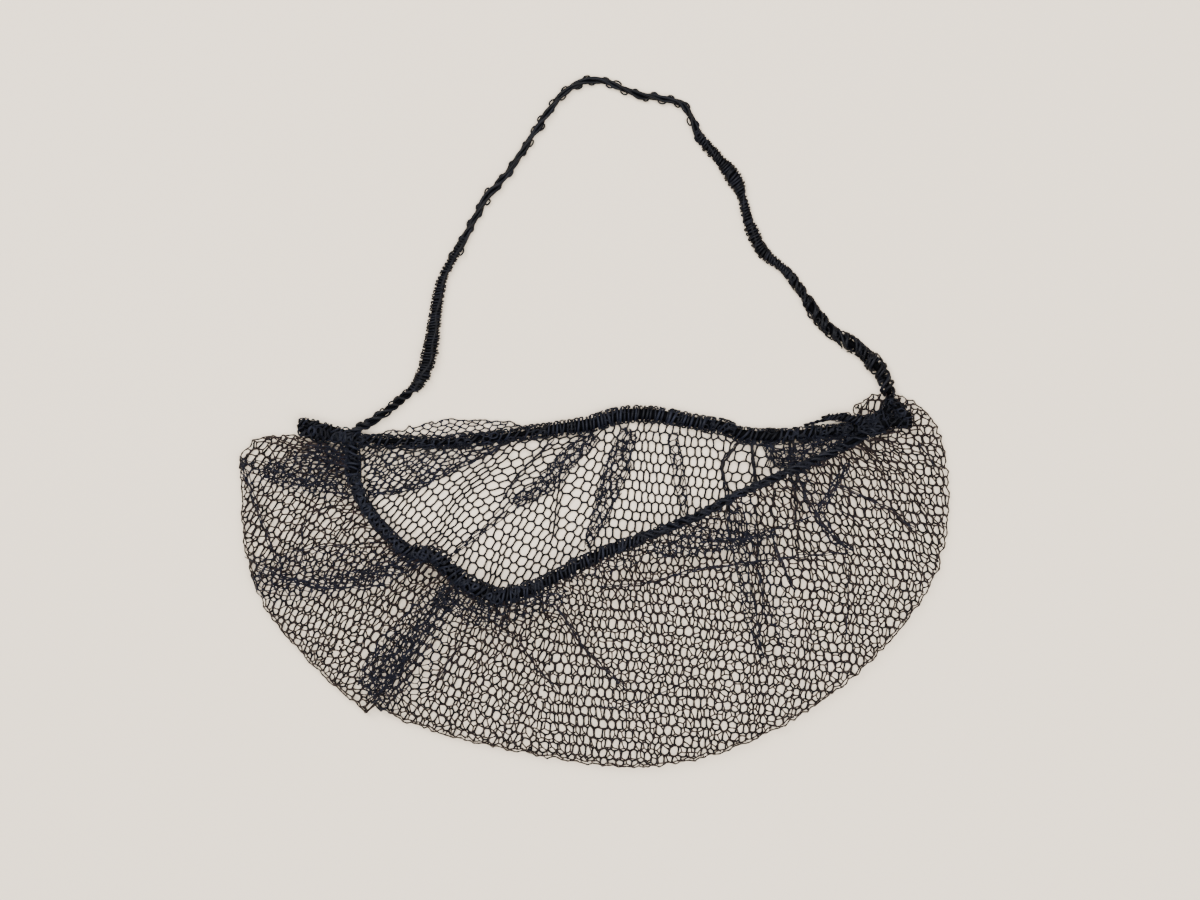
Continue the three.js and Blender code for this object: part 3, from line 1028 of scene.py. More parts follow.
# Each rim's places from left to right, with the half width there.
FRONT_RIM = (
    (-0.0748, 0.0425, 0.0037, 0.0019), (-0.0746, 0.0375, 0.0039, 0.0021),
    (-0.0738, 0.0315, 0.0052, 0.0018), (-0.0715, 0.0255, 0.0069, 0.0016),
    (-0.0676, 0.0197, 0.0088, 0.0016), (-0.0618, 0.0136, 0.0107, 0.0017),
    (-0.0576, 0.0098, 0.0116, 0.0021), (-0.0530, 0.0090, 0.0122, 0.0022),
    (-0.0490, 0.0085, 0.0126, 0.0022), (-0.0455, 0.0055, 0.0131, 0.0024),
    (-0.0415, 0.0016, 0.0136, 0.0024), (-0.0360, -0.0016, 0.0139, 0.0025),
    (-0.0303, -0.0041, 0.0140, 0.0026), (-0.0250, -0.0034, 0.0140, 0.0023),
    (-0.0180, -0.0012, 0.0140, 0.0021), (-0.0095, 0.0030, 0.0138, 0.0020),
    (-0.0015, 0.0072, 0.0135, 0.0019), (0.0070, 0.0108, 0.0130, 0.0017), (0.0155, 0.0140, 0.0125, 0.0014),
    (0.0240, 0.0174, 0.0120, 0.0012), (0.0330, 0.0211, 0.0115, 0.0011), (0.0434, 0.0266, 0.0107, 0.0010),
    (0.0537, 0.0313, 0.0095, 0.00105), (0.0641, 0.0357, 0.0080, 0.0011), (0.0723, 0.0394, 0.0062, 0.0012),
    (0.0795, 0.0431, 0.0047, 0.0013), (0.0848, 0.0463, 0.0042, 0.0015), (0.0898, 0.0482, 0.0040, 0.0017),
)

BACK_RIM = (
    (-0.0752, 0.0440, 0.0022, 0.0016), (-0.0640, 0.0437, 0.0021, 0.0015),
    (-0.0478, 0.0434, 0.0020, 0.0015), (-0.0291, 0.0450, 0.0020, 0.0016),
    (-0.0151, 0.0470, 0.0020, 0.0019), (-0.0011, 0.0490, 0.0020, 0.0023), (0.0082, 0.0517, 0.0020, 0.0024),
    (0.0191, 0.0519, 0.0020, 0.0022), (0.0331, 0.0493, 0.0020, 0.0021), (0.0400, 0.0484, 0.0020, 0.0020),
    (0.0459, 0.0459, 0.0020, 0.0020), (0.0549, 0.0453, 0.0020, 0.0020), (0.0621, 0.0456, 0.0020, 0.0019),
    (0.0692, 0.0465, 0.0021, 0.0018), (0.0770, 0.0471, 0.0023, 0.0018), (0.0840, 0.0478, 0.0026, 0.0018),
)

STRAP_ROUTE = (
    (-0.0744, 0.0465, 0.00365), (-0.0706, 0.0485, 0.00305), (-0.0645, 0.0527, 0.00205),
    (-0.0584, 0.0578, 0.00155), (-0.0542, 0.0614, 0.00155), (-0.0522, 0.0660, 0.00155),
    (-0.0506, 0.0720, 0.00155), (-0.0496, 0.0790, 0.00155), (-0.0474, 0.0928, 0.00155),
    (-0.0443, 0.0993, 0.00155), (-0.0404, 0.1062, 0.00155), (-0.0334, 0.1192, 0.00155),
    (-0.0288, 0.1244, 0.00155), (-0.0242, 0.1305, 0.00155), (-0.0154, 0.1439, 0.00155),
    (-0.0112, 0.1500, 0.00155), (-0.0062, 0.1542, 0.00155), (0.0000, 0.1562, 0.00155),
    (0.0062, 0.1545, 0.00155), (0.0126, 0.1514, 0.00155), (0.0192, 0.1505, 0.00155),
    (0.0249, 0.1496, 0.00155), (0.0284, 0.1480, 0.00155), (0.0303, 0.1448, 0.00155),
    (0.0314, 0.1406, 0.00155), (0.0352, 0.1355, 0.00155), (0.0396, 0.1307, 0.00155),
    (0.0439, 0.1252, 0.00155), (0.0465, 0.1194, 0.00155), (0.0475, 0.1136, 0.00155),
    (0.0500, 0.1076, 0.00155), (0.0523, 0.1023, 0.00155), (0.0570, 0.0991, 0.00155),
    (0.0618, 0.0943, 0.00155), (0.0698, 0.0821, 0.00155), (0.0752, 0.0768, 0.00155),
    (0.0820, 0.0728, 0.00155), (0.0876, 0.0676, 0.00175), (0.0908, 0.0620, 0.00205),
    (0.0919, 0.0581, 0.00235),
)

# Shares of the strap's length, with the half width there.
STRAP_WIDTHS = (
    (0.0, 0.0015), (0.03, 0.0013), (0.04, 0.0015), (0.055, 0.0012), (0.065, 0.00145), (0.075, 0.0012),
    (0.085, 0.0017), (0.10, 0.0022), (0.125, 0.00245), (0.15, 0.0021), (0.185, 0.0019), (0.20, 0.00165),
    (0.215, 0.0014), (0.23, 0.00125), (0.245, 0.0013), (0.26, 0.0011), (0.275, 0.0009), (0.30, 0.0010),
    (0.32, 0.0013), (0.33, 0.0011), (0.35, 0.00085), (0.375, 0.00095), (0.40, 0.0008), (0.415, 0.00105),
    (0.445, 0.0008), (0.475, 0.00095), (0.495, 0.0011), (0.505, 0.0009), (0.53, 0.0009), (0.55, 0.00125),
    (0.56, 0.0010), (0.57, 0.0011), (0.585, 0.0008), (0.59, 0.00105), (0.605, 0.00095), (0.62, 0.0010),
    (0.635, 0.0013), (0.65, 0.0017), (0.66, 0.0017), (0.67, 0.00145), (0.675, 0.00175), (0.685, 0.0022),
    (0.695, 0.0027), (0.71, 0.00185), (0.715, 0.00145), (0.725, 0.00135), (0.735, 0.00165),
    (0.745, 0.00135), (0.755, 0.00205), (0.79, 0.00185), (0.80, 0.0015), (0.81, 0.0013), (0.83, 0.00165),
    (0.845, 0.0015), (0.86, 0.0018), (0.89, 0.00195), (0.915, 0.00175), (0.925, 0.00255), (0.94, 0.00195),
    (0.95, 0.00195), (0.96, 0.00295), (0.97, 0.00255), (0.98, 0.0023), (0.995, 0.0024), (1.0, 0.00165),
)

# Each line's stitches, and the part of its half width that its core fills.
STRAP_STITCHES = (
    Plies((0.0, 0.095), thick=0.00042, pitch=0.010, sway=0.6),
    SideLoops(
        (0.004, 0.078), spacing=0.0028, size=0.0005, base=0.85, long=1.8, thread=0.00026,
        sides=(Side.LEFT,),
    ),
    Ribs(
        (0.080, 0.262), thick=0.0003, spacing=0.0009, slant=-0.0005, lean=0.00015, ragged=0.06, uneven=0.1
    ),
    Plies((0.078, 0.262), thick=0.00042, pitch=1.0, count=1, start=math.pi / 2, sway=0.25),
    SideLoops((0.085, 0.255), spacing=0.0011, size=0.00028, long=0.9, sides=(Side.LEFT,)),
    SideLoops((0.100, 0.122), spacing=0.0018, size=0.0006, base=0.85, long=0.8, sides=(Side.RIGHT,)),
    Plies((0.245, 0.640), thick=0.00054, pitch=0.024, sway=0.5),
    SideLoops((0.230, 0.632), spacing=0.0056, size=0.0005, base=1.05, long=1.9, thread=0.00028),
    Ribs(
        (0.628, 0.825), thick=0.00034, spacing=0.0009, slant=-0.0004, lean=0.00016, ragged=0.06, uneven=0.1
    ),
    SideLoops((0.640, 0.825), spacing=0.0019, size=0.00035, long=0.9, thread=0.00024, sides=(Side.RIGHT,)),
    Plies((0.640, 0.825), thick=0.00030, pitch=0.020, count=2, sway=1.0),
    Plies((0.815, 0.940), thick=0.00055, pitch=0.0065),
    CrossLoops((0.825, 0.960), cover=0.3, size=0.0008, thread=0.00026),
    SideLoops((0.870, 0.906), spacing=0.0026, size=0.0008, base=0.85, thread=0.00026, sides=(Side.RIGHT,)),
    SideLoops((0.924, 0.946), spacing=0.0010, size=0.00055, base=0.75, long=0.8, sides=(Side.LEFT,)),
    SideLoops((0.945, 0.998), spacing=0.0016, size=0.0010, base=0.45, long=0.75, thread=0.00032),
    Plies((0.930, 1.0), thick=0.00045, pitch=0.007),
)
STRAP_CORE = (
    (0.0, 0.60), (0.075, 0.60), (0.095, 0.80), (0.235, 0.80), (0.262, 0.55), (0.620, 0.55), (0.645, 0.80),
    (0.815, 0.80), (0.840, 0.62), (0.905, 0.60), (0.925, 0.45), (1.0, 0.45),
)

FRONT_STITCHES = (
    Ribs((0.0, 0.36), thick=0.0004, spacing=0.0017, slant=0.0010, lean=0.0005, ragged=0.09),
    CrossLoops((0.0, 0.36), cover=0.45, size=0.0010, thread=0.00028),
    Rings((0.05, 0.36), spacing=0.0024, size=0.0011, thread=0.00034),
    SideLoops((0.0, 0.36), spacing=0.0018, thread=0.00024),
    Ribs((0.36, 0.60), thick=0.0004, spacing=0.0013, slant=0.0007, lean=0.0003, ragged=0.08),
    CrossLoops((0.36, 0.60), cover=0.25, thread=0.00025),
    SideLoops((0.36, 0.60), spacing=0.0020, size=0.00045, thread=0.00024),
    Plies((0.58, 1.0), thick=0.00046, pitch=0.0085),
    CrossLoops((0.60, 1.0), cover=0.35, size=0.0008, thread=0.00022),
    SideLoops((0.60, 1.0), spacing=0.0022, size=0.0004, thread=0.00022),
)
FRONT_CORE = ((0.0, 0.72), (0.58, 0.70), (0.62, 0.5), (1.0, 0.5))

BACK_STITCHES = (
    Ribs((0.0, 0.378), thick=0.0003, spacing=0.0026, slant=0.0012, lean=0.0006, ragged=0.10),
    CrossLoops((0.0, 0.378), cover=0.55, size=0.0010, thread=0.00026),
    SideLoops((0.0, 0.378), spacing=0.0019, size=0.0006, thread=0.00024),
    Ribs((0.372, 0.690), thick=0.0004, spacing=0.0012, slant=0.0004, lean=0.0002, ragged=0.06),
    CrossLoops((0.378, 0.690), cover=0.15, thread=0.00025),
    SideLoops((0.378, 0.690), spacing=0.0021, size=0.0004, thread=0.00024),
    Ribs((0.685, 1.0), thick=0.00034, spacing=0.0018, slant=0.0009, lean=0.0004, ragged=0.08),
    CrossLoops((0.685, 1.0), cover=0.45, size=0.0009, thread=0.00026),
    SideLoops((0.685, 1.0), spacing=0.0017, size=0.0008, thread=0.00024, sides=(Side.RIGHT,)),
    SideLoops((0.685, 1.0), spacing=0.0020, size=0.0004, thread=0.00024, sides=(Side.LEFT,)),
)
BACK_CORE = ((0.0, 0.5), (0.36, 0.5), (0.385, 0.74), (1.0, 0.74))


class CreaseSet:
    """The creases of one layer of net."""

    TAPER = 0.16
    LAP, LAP_SLOPE = 0.6, 0.4
    STEP, GAP = 0.0019, 0.0005
    SWAY, SWAY_WAVE = 0.0003, 0.009
    JITTER, CLEAR = 0.00008, 0.00015

    def __init__(self, creases: Sequence[Crease]) -> None:
        """Keeps the creases, with their routes made smooth."""
        self._creases = [(crease, Route(crease.route, 2)) for crease in creases]

    def press(self, knots: Array, hold: Array) -> None:
        """Draws knots in towards each crease and lifts them there, in place.

        Args:
            knots: Places of shape (n, 3).
            hold: How freely each knot moves, from 0 to 1.
        """
        for crease, route in self._creases:
            near = beside(knots[:, :2], route.line)
            ends = ease(0.0, self.TAPER, near.share) * ease(0.0, self.TAPER, 1.0 - near.share)
            draw = ends * np.exp(-((near.distance / crease.reach) ** 2)) * hold
            knots[:, :2] -= near.gap * (crease.pinch * draw)[:, None]
            lap = self.LAP + self.LAP_SLOPE * near.side * near.distance / crease.reach
            knots[:, 2] += crease.lift * draw * lap

    def strands(self, ground: Ground, rng: Random) -> Array:
        """Gives the strands that line up along the creases.

        Args:
            ground: The layer that they lie on.
            rng: The source of random numbers.

        Returns:
            Pairs of ends of shape (n, 2, 3).
        """
        ends = [np.zeros((0, 2, 3))]
        for crease, route in self._creases:
            for line in range(crease.lines):
                count = max(3, round(route.length / self.STEP))
                along = np.linspace(0.0, route.length, count)
                sway = self.SWAY * Wander(rng, self.SWAY_WAVE).at(along)
                sway = sway + self.GAP * (line - (crease.lines - 1) / 2)
                flat = route.at(along) + left_of(route.ahead(along)) * sway[:, None]
                flat = flat + rng.normal(size=(count, 2)) * self.JITTER
                ends.append(paired(np.column_stack([flat, ground.at(flat) + self.CLEAR])))
        return np.concatenate(ends)


@dataclass
class NetLayer:
    """What all parts of the pouch share: strands of thread drawn between knots."""

    strand: float
    knot: float
    sides: int = 4
    bow: float = 0.0001

    def draw(self, bundle: ThreadBundle, ends: Array, rng: Random, thin: float = 1.0) -> None:
        """Adds a slightly bowed thread for each pair of ends.

        Args:
            bundle: Takes the threads.
            ends: Pairs of ends, of shape (n, 2, 3).
            rng: The source of random numbers.
            thin: The threads' thickness, as a share of the layer's usual one.
        """
        ends = ends[np.linalg.norm(ends[:, 1] - ends[:, 0], axis=1) > self.knot]
        middle = ends.mean(axis=1) + rng.normal(size=(len(ends), 3)) * self.bow
        paths = np.stack([ends[:, 0], middle, ends[:, 1]], axis=1)
        radii = np.tile([self.knot, self.strand, self.knot], (len(paths), 1)) * thin
        bundle.add(paths, radii, rng.uniform(0.0, 1.0, len(paths)), self.sides)

    def covered(self, flat_ends: Array) -> float:
        """Gives the area that the threads cover while the net is flat, as most of a net is holes."""
        lengths = np.linalg.norm(flat_ends[:, 1] - flat_ends[:, 0], axis=1)
        return float(lengths.sum() * math.pi * self.strand)


@dataclass
class FoldedStrips(NetLayer):
    """The strips where a layer lies folded over itself, and the threads lined up along its creases."""

    LEAST_POINTS = 12

    cell: float = 0.0026
    upright: float = 0.0019
    zigzag: float = 0.0007
    strand: float = 0.00015
    knot: float = 0.00020
    step: float = 0.0018
    ragged: float = 0.22
    ragged_wave: float = 0.006
    line_reach: float = 0.92
    line_sway: float = 0.16
    line_wave: float = 0.012
    sway: float = 0.0006
    sway_wave: float = 0.009
    jitter: float = 0.00025
    lean: float = 0.45
    low: float = 0.0002
    high: float = 0.0009
    folds: tuple[Fold, ...] = ()
    creases: tuple[Crease, ...] = ()
    seed: int = 31

    def build(self, bundle: ThreadBundle, ground: Ground) -> None:
        """Adds the strands of the strips and creases to a bundle.

        Args:
            bundle: Takes the threads.
            ground: The layer that the strips lie on.
        """
        rng = np.random.default_rng(self.seed)
        self.draw(bundle, CreaseSet(self.creases).strands(ground, rng), rng)
        for fold in self.folds:
            route = Route(fold.route, 2)
            count = max(self.LEAST_POINTS, round(route.length / self.step))
            along = np.linspace(0.0, route.length, count)
            half = route.at(along)[:, 2]
            left, right = (1.0 + self.ragged * Wander(rng, self.ragged_wave).at(along) for _ in Side)
            sides = np.column_stack([along, half * left]), np.column_stack([along, -half * right])
            edge = np.vstack([sides[0], sides[1][::-1]])
            parts = [self._layer(fold, route, edge, rng) for _ in range(fold.layers)]
            for share in np.linspace(-self.line_reach, self.line_reach, fold.lines):
                sway = half * (share + self.line_sway * Wander(rng, self.line_wave).at(along))
                parts.append(paired(np.column_stack([along, sway])))
            flat = np.concatenate(parts)
            aside = left_of(route.ahead(flat[..., 0]))
            places = route.at(flat[..., 0])[..., :2] + aside * flat[..., 1:2]
            height = ground.at(places.reshape(-1, 2)).reshape(places.shape[:2])
            height += rng.uniform(self.low, self.high, (len(places), 1))
            self.draw(bundle, np.concatenate([places, height[..., None]], axis=-1), rng)

    def _layer(self, fold: Fold, route: Route, edge: Array, rng: Random) -> Array:
        """Cuts one layer of net to a strip that is laid out straight.

        Args:
            fold: The strip.
            route: The line along its middle.
            edge: Its outline, laid out straight.
            rng: The source of random numbers.

        Returns:
            Pairs of flat ends.
        """
        reach = float(np.abs(edge[:, 1]).max()) + self.cell
        size = route.length / 2 + 2 * reach
        comb = Honeycomb(self.cell * fold.squeeze, self.upright, self.zigzag, (-size, -size), (size, size))
        turn = math.pi / 2 + rng.uniform(-self.lean, self.lean)
        flat = comb.knots @ spin(turn) + np.array([route.length / 2, 0.0])
        flat += np.stack([Wander(rng, self.sway_wave, 2).at(flat) for _ in range(2)], axis=1) * self.sway
        flat += rng.normal(size=flat.shape) * self.jitter
        near = np.abs(flat[:, 1]) < reach
        strands = comb.strands[near[comb.strands].all(axis=1)]
        return clipped(flat[strands], edge)


@dataclass
class FrontLayer(NetLayer):
    """The front of the pouch, fanned out from the front rim band to the fold."""

    PASSES = 2

    cell: float = 0.0032
    upright: float = 0.0023
    zigzag: float = 0.0009
    strand: float = 0.00020
    knot: float = 0.00028
    wrap: float = 0.0016
    wrap_width: float = 0.0026
    wrap_depth: float = 0.0066
    bunch: float = 0.4
    bunch_crowns: Pair = (0.0005, 0.0030)
    border_points: int = 480
    uneven_edge: float = 0.00028
    edge_scales: Pair = (0.0032, 0.008)
    probe: float = 0.0005
    tightest: float = 0.35
    loose_share: float = 0.10
    sway: float = 0.0006
    sway_wave: float = 0.011
    jitter: Place = (0.00018, 0.00018, 0.0001)
    gather_wave: float = 0.0072
    gather_reach: float = 0.012
    gather_shift: float = 0.6
    drift: float = 1.3
    drift_wave: float = 0.034
    stray: float = 0.8
    stray_wave: float = 0.03
    rise_reach: float = 0.004
    held_reach: float = 0.003
    crease_ends: Pair = (0.03, 0.05)
    crease_gap: float = 0.0085
    crease_shift: float = 0.004
    crease_lean: float = 0.006
    crease_lengths: Pair = (0.006, 0.020)
    crease_room: float = 0.02
    crease_reach: float = 0.0022
    crease_pinches: Pair = (0.4, 0.9)
    crease_lift: float = 0.0008
    notch: Pair = (-0.0690, -0.0375)
    notch_tip: float = 0.0022
    notch_dip: float = 0.0014
    notch_fade: float = 0.0070
    pleat_lift: float = 0.0004
    pleat_thin: float = 0.72
    creases: tuple[Crease, ...] = ()
    pleats: tuple[Pleat, ...] = ()
    flat_area: float = field(init=False, default=0.0)
    seed: int = 11

    def __post_init__(self) -> None:
        """Fits the line of the fold, with columns for the rim's place, its rise and the crown."""
        self.fold = Route([(*line.fold, *line.rim, line.rise, line.crown) for line in SECTIONS], 2)
        rng = np.random.default_rng(self.seed)
        self.edge_waves = [Wander(rng, scale) for scale in self.edge_scales]

    def border(self) -> Array:
        """Gives the outline of the pouch from above, from its left corner to its right one."""
        return self._fold_at(np.linspace(0.0, self.fold.length, self.border_points))

    def _flat_length(self) -> float:
        """Gives the length of the fold with its pleats laid open."""
        return self.fold.length + sum(2 * pleat.inserted for pleat in self.pleats)

    def _fold_at(self, distances: Array) -> Array:
        """Gives places on the fold, with the notch where the big pleat ends.

        Args:
            distances: Distances along the fold.

        Returns:
            The places, of shape (n, 2).
        """
        outward = -left_of(self.fold.ahead(distances))
        middle = self.fold.along[np.argmin(np.linalg.norm(self.fold.line[:, :2] - self.notch, axis=1))]
        gap = distances - middle
        notch = np.where(gap < 0.0, self.notch_tip, -self.notch_dip)
        offset = notch * np.exp(-np.abs(gap) / self.notch_fade)
        offset += self.uneven_edge * sum(wave.at(distances) for wave in self.edge_waves)
        return self.fold.at(distances)[:, :2] + outward * offset[:, None]

    def _share(self, along: Array, depth: Array) -> tuple[Array, Array]:
        """Finds how far knots are on the way from the fold to the rim.

        Args:
            along: Their distances along the fold.
            depth: Their distances in from it, over the net.

        Returns:
            Their share of the way, and how far they turn round the fold.
        """
        row = self.fold.at(along)
        width = np.linalg.norm(row[:, 2:4] - row[:, :2], axis=1)
        bunched = self.bunch + (1.0 - self.bunch) * ease(*self.bunch_crowns, row[:, 5])
        deep, wide = self.wrap_depth * bunched, self.wrap_width * bunched
        turn = np.minimum(depth / deep, 1.0) * math.pi / 2
        inset = wide * (1.0 - np.cos(turn)) + np.maximum(depth - deep, 0.0)
        return np.clip(inset / width, 0.0, 1.0), turn

    def _shape(self, along: Array, depth: Array) -> Array:
        """Puts knots into their places.

        Args:
            along: Their distances along the fold.
            depth: Their distances in from it, over the net.

        Returns:
            The places, of shape (n, 3).
        """
        row = self.fold.at(along)
        fold, rim, rise, crown = self._fold_at(along), row[:, 2:4], row[:, 4], row[:, 5]
        share, turn = self._share(along, depth)
        height = self.wrap * (1.0 + np.sin(turn))
        lie = ease(0.0, 1.0, share) * 0.5 + share * 0.5
        height += (rise - 2 * self.wrap) * lie + crown * np.sin(math.pi * np.sqrt(share))
        return np.column_stack([fold + (rim - fold) * share[:, None], height])

    def build(self, bundle: ThreadBundle, folds: ThreadBundle) -> Ground:
        """Adds the layer's strands to a bundle, and those that lie in pleats to another.

        Args:
            bundle: Takes the threads of the open net.
            folds: Takes the threads of the pleats.

        Returns:
            The heights that the layer lies at.
        """
        rng = np.random.default_rng(self.seed)
        widest = max(math.dist(line.rim, line.fold) for line in SECTIONS)
        far = (self._flat_length(), widest + self.wrap_depth + 2 * self.cell)
        comb = Honeycomb(self.cell, self.upright, self.zigzag, (0.0, 0.0), far)
        flat = comb.knots
        along, lift = self._fold_pleats(flat)
        share, _ = self._share(along, flat[:, 1])
        knots = self._shape(along, flat[:, 1])
        spacing = self._shape(along + self.probe, flat[:, 1]) - self._shape(along - self.probe, flat[:, 1])
        draw_in = np.linalg.norm(spacing[:, :2], axis=1) / (2 * self.probe)
        draw_in = np.clip(draw_in, self.tightest, 1.0)
        free = self._gather(flat, along, knots, share, draw_in, unit(spacing), rng)
        knots[:, 2] += lift * free
        loose = ease(0.0, self.loose_share, share) * free
        sway = [Wander(rng, self.sway_wave, 2).at(flat) for _ in range(2)]
        knots[:, :2] += np.stack(sway, axis=1) * (self.sway * loose)[:, None]
        CreaseSet((*self.creases, *self._gather_creases(rng))).press(knots, loose)
        knots += rng.normal(size=knots.shape) * np.array(self.jitter) * free[:, None]
        reached = (share < 1.0) & (along < self.fold.length)
        kept = reached[comb.strands].any(axis=1) & (along < self.fold.length)[comb.strands].all(axis=1)
        strands = comb.strands[kept]
        pleated = (lift > self.pleat_lift)[strands].all(axis=1)
        self.draw(bundle, knots[strands[~pleated]], rng)
        self.draw(folds, knots[strands[pleated]], rng, self.pleat_thin)
        self.flat_area = self.covered(flat[strands])
        return Ground(knots[reached])

    def _fold_pleats(self, flat: Array) -> tuple[Array, Array]:
        """Folds the flat knots along the fold of the pouch, pleat by pleat from the left.

        Args:
            flat: Knots of shape (n, 2), by distance along the fold and in from it.

        Returns:
            The distances along the fold, and the heights that layers below add.
        """
        along, lift = flat[:, 0] * self.fold.length / self._flat_length(), np.zeros(len(flat))
        for _ in range(self.PASSES):
            level, _ = self._share(along, flat[:, 1])
            along, lift = flat[:, 0], np.zeros(len(flat))
            for pleat in self.pleats:
                along, raised = pleat.fold(along, level)
                lift = lift + raised
        return along, lift

    def _gather(
        self,
        flat: Array,
        along: Array,
        knots: Array,
        share: Array,
        draw_in: Array,
        ahead: Array,
        rng: Random,
    ) -> Array:
        """Ruffles the net, in place, where the rim band draws it in.

        Args:
            flat: The flat knots.
            along: Their distances along the fold.
            knots: Their places.
            share: Their share of the way from the fold to the rim.
            draw_in: How much closer neighbours lie than in the flat net.
            ahead: The direction along the rim at each knot.
            rng: The source of random numbers.

        Returns:
            How freely each knot may move besides.
        """
        row = self.fold.at(along)
        width = np.linalg.norm(row[:, 2:4] - row[:, :2], axis=1)
        to_rim = (1.0 - share) * width
        wave = math.tau / self.gather_wave
        phase = wave * flat[:, 0] + self.drift * Wander(rng, self.drift_wave).at(flat[:, 0])
        phase = phase + self.stray * Wander(rng, self.stray_wave, 2).at(flat)
        amount = np.exp(-((to_rim / self.gather_reach) ** 2))
        height = math.sqrt(2.0) * np.sqrt(1.0 - draw_in**2) / wave * amount
        shift = self.gather_shift * draw_in / wave * amount
        knots[:, 2] += height * np.sin(phase) * ease(0.0, self.rise_reach, to_rim)
        knots -= ahead * (shift * np.sin(2 * phase))[:, None]
        return ease(0.0, self.held_reach, to_rim)

    def _gather_creases(self, rng: Random) -> list[Crease]:
        """Makes the short creases that run out from the rim band.

        Args:
            rng: The source of random numbers.

        Returns:
            The creases.
        """
        creases = []
        left, right = self.crease_ends
        for along in np.arange(left, self.fold.length - right, self.crease_gap):
            start, lean = along + rng.normal() * self.crease_shift, rng.normal() * self.crease_lean
            row, outer = self.fold.at(np.array([start, start + lean]))
            rim, fold = row[2:4], outer[:2]
            long = rng.uniform(*self.crease_lengths) / max(np.linalg.norm(fold - rim), self.crease_room)
            route = tuple(tuple(rim + (fold - rim) * long * part) for part in (0.0, 0.5, 1.0))
            pinch = rng.uniform(*self.crease_pinches)
            creases.append(Crease(route, self.crease_reach, pinch, self.crease_lift, 0))
        return creases


@dataclass
class BackLayer(NetLayer):
    """The back of the pouch, which lies on the table and shows through the mouth."""

    strand: float = 0.00027
    knot: float = 0.00034
    wrap: float = 0.0016
    hem: float = 0.0004
    lie: float = 0.0006
    reach: float = 0.125
    wave: float = 0.011
    wave_size: float = 0.0007
    wave_stretch: Pair = (1.0, 0.35)
    wave_lengthwise: float = 0.5
    gather_wave: float = 0.0075
    gather_reach: float = 0.008
    gather_shift: float = 0.45
    drift: float = 1.4
    drift_wave: float = 0.03
    stray: float = 0.7
    stray_wave: float = 0.025
    ripple: float = 0.0010
    held_rim: float = 0.003
    held_border: float = 0.005
    jitter: float = 0.0001
    panels: tuple[Panel, ...] = ()
    creases: tuple[Crease, ...] = ()
    pleats: tuple[Pleat, ...] = ()
    flat_area: float = field(init=False, default=0.0)
    seed: int = 23

    def build(self, bundle: ThreadBundle, border: Array) -> Ground:
        """Adds the layer's strands to a bundle.

        Args:
            bundle: Takes the threads.
            border: The pouch's outline, from its left corner to its right one.

        Returns:
            The heights that the layer lies at.
        """
        rng = np.random.default_rng(self.seed)
        rim = Route([station[:2] for station in BACK_RIM], 2).line
        inset = border + self.hem * left_of(unit(np.gradient(border, axis=0)))
        edge = np.vstack([inset, rim[::-1]])
        laid = [self._lay(panel, border, rim, rng) for panel in self.panels]
        cut = clipped(np.concatenate(laid), edge)
        self.flat_area = self.covered(cut[..., 3:])
        places = cut[..., :3].reshape(-1, 3)
        near = np.minimum(beside(places[:, :2], border).distance, self.wrap)
        places[:, 2] += self.wrap - np.sqrt(self.wrap**2 - (self.wrap - near) ** 2)
        self.draw(bundle, places.reshape(-1, 2, 3), rng)
        return Ground(places)

    def _lay(self, panel: Panel, border: Array, rim: Array, rng: Random) -> Array:
        """Lays one panel of net on the table.

        Args:
            panel: The panel.
            border: The pouch's outline.
            rim: The line of the back rim band.
            rng: The source of random numbers.

        Returns:
            Pairs of ends of shape (n, 2, 5), each a place in space and then a place in the flat net.
        """
        low, high = (-self.reach, -self.reach), (self.reach, self.reach)
        comb = Honeycomb(panel.cell, panel.upright, panel.zigzag, low, high)
        flat = comb.knots.copy()
        stretched = comb.knots * np.array(self.wave_stretch)
        flat[:, 0] += self.wave_size * Wander(rng, self.wave, 2).at(stretched)
        flat[:, 1] += self.wave_lengthwise * self.wave_size * Wander(rng, self.wave, 2).at(comb.knots)
        x, y = panel.lay(flat).T
        height = np.full(len(flat), self.lie)
        for pleat in self.pleats:
            x, raised = pleat.fold(x, y)
            height = height + raised
        knots = np.column_stack([x, y, height])
        to_rim = beside(knots[:, :2], rim).distance
        wave = math.tau / self.gather_wave
        phase = wave * x + self.drift * Wander(rng, self.drift_wave).at(x)
        phase = phase + self.stray * Wander(rng, self.stray_wave, 2).at(flat)
        amount = np.exp(-((to_rim / self.gather_reach) ** 2))
        held = ease(0.0, self.held_rim, to_rim)
        knots[:, 2] += self.ripple * amount * (1.0 + np.sin(phase)) * held
        knots[:, 0] -= self.gather_shift / wave * amount * np.sin(2 * phase)
        loose = ease(0.0, self.held_border, beside(knots[:, :2], border).distance) * held
        CreaseSet(self.creases).press(knots, loose)
        knots[:, :2] += rng.normal(size=(len(knots), 2)) * self.jitter
        return clipped(np.column_stack([knots, comb.knots])[comb.strands], np.array(panel.corners))


HALVINGS = 12


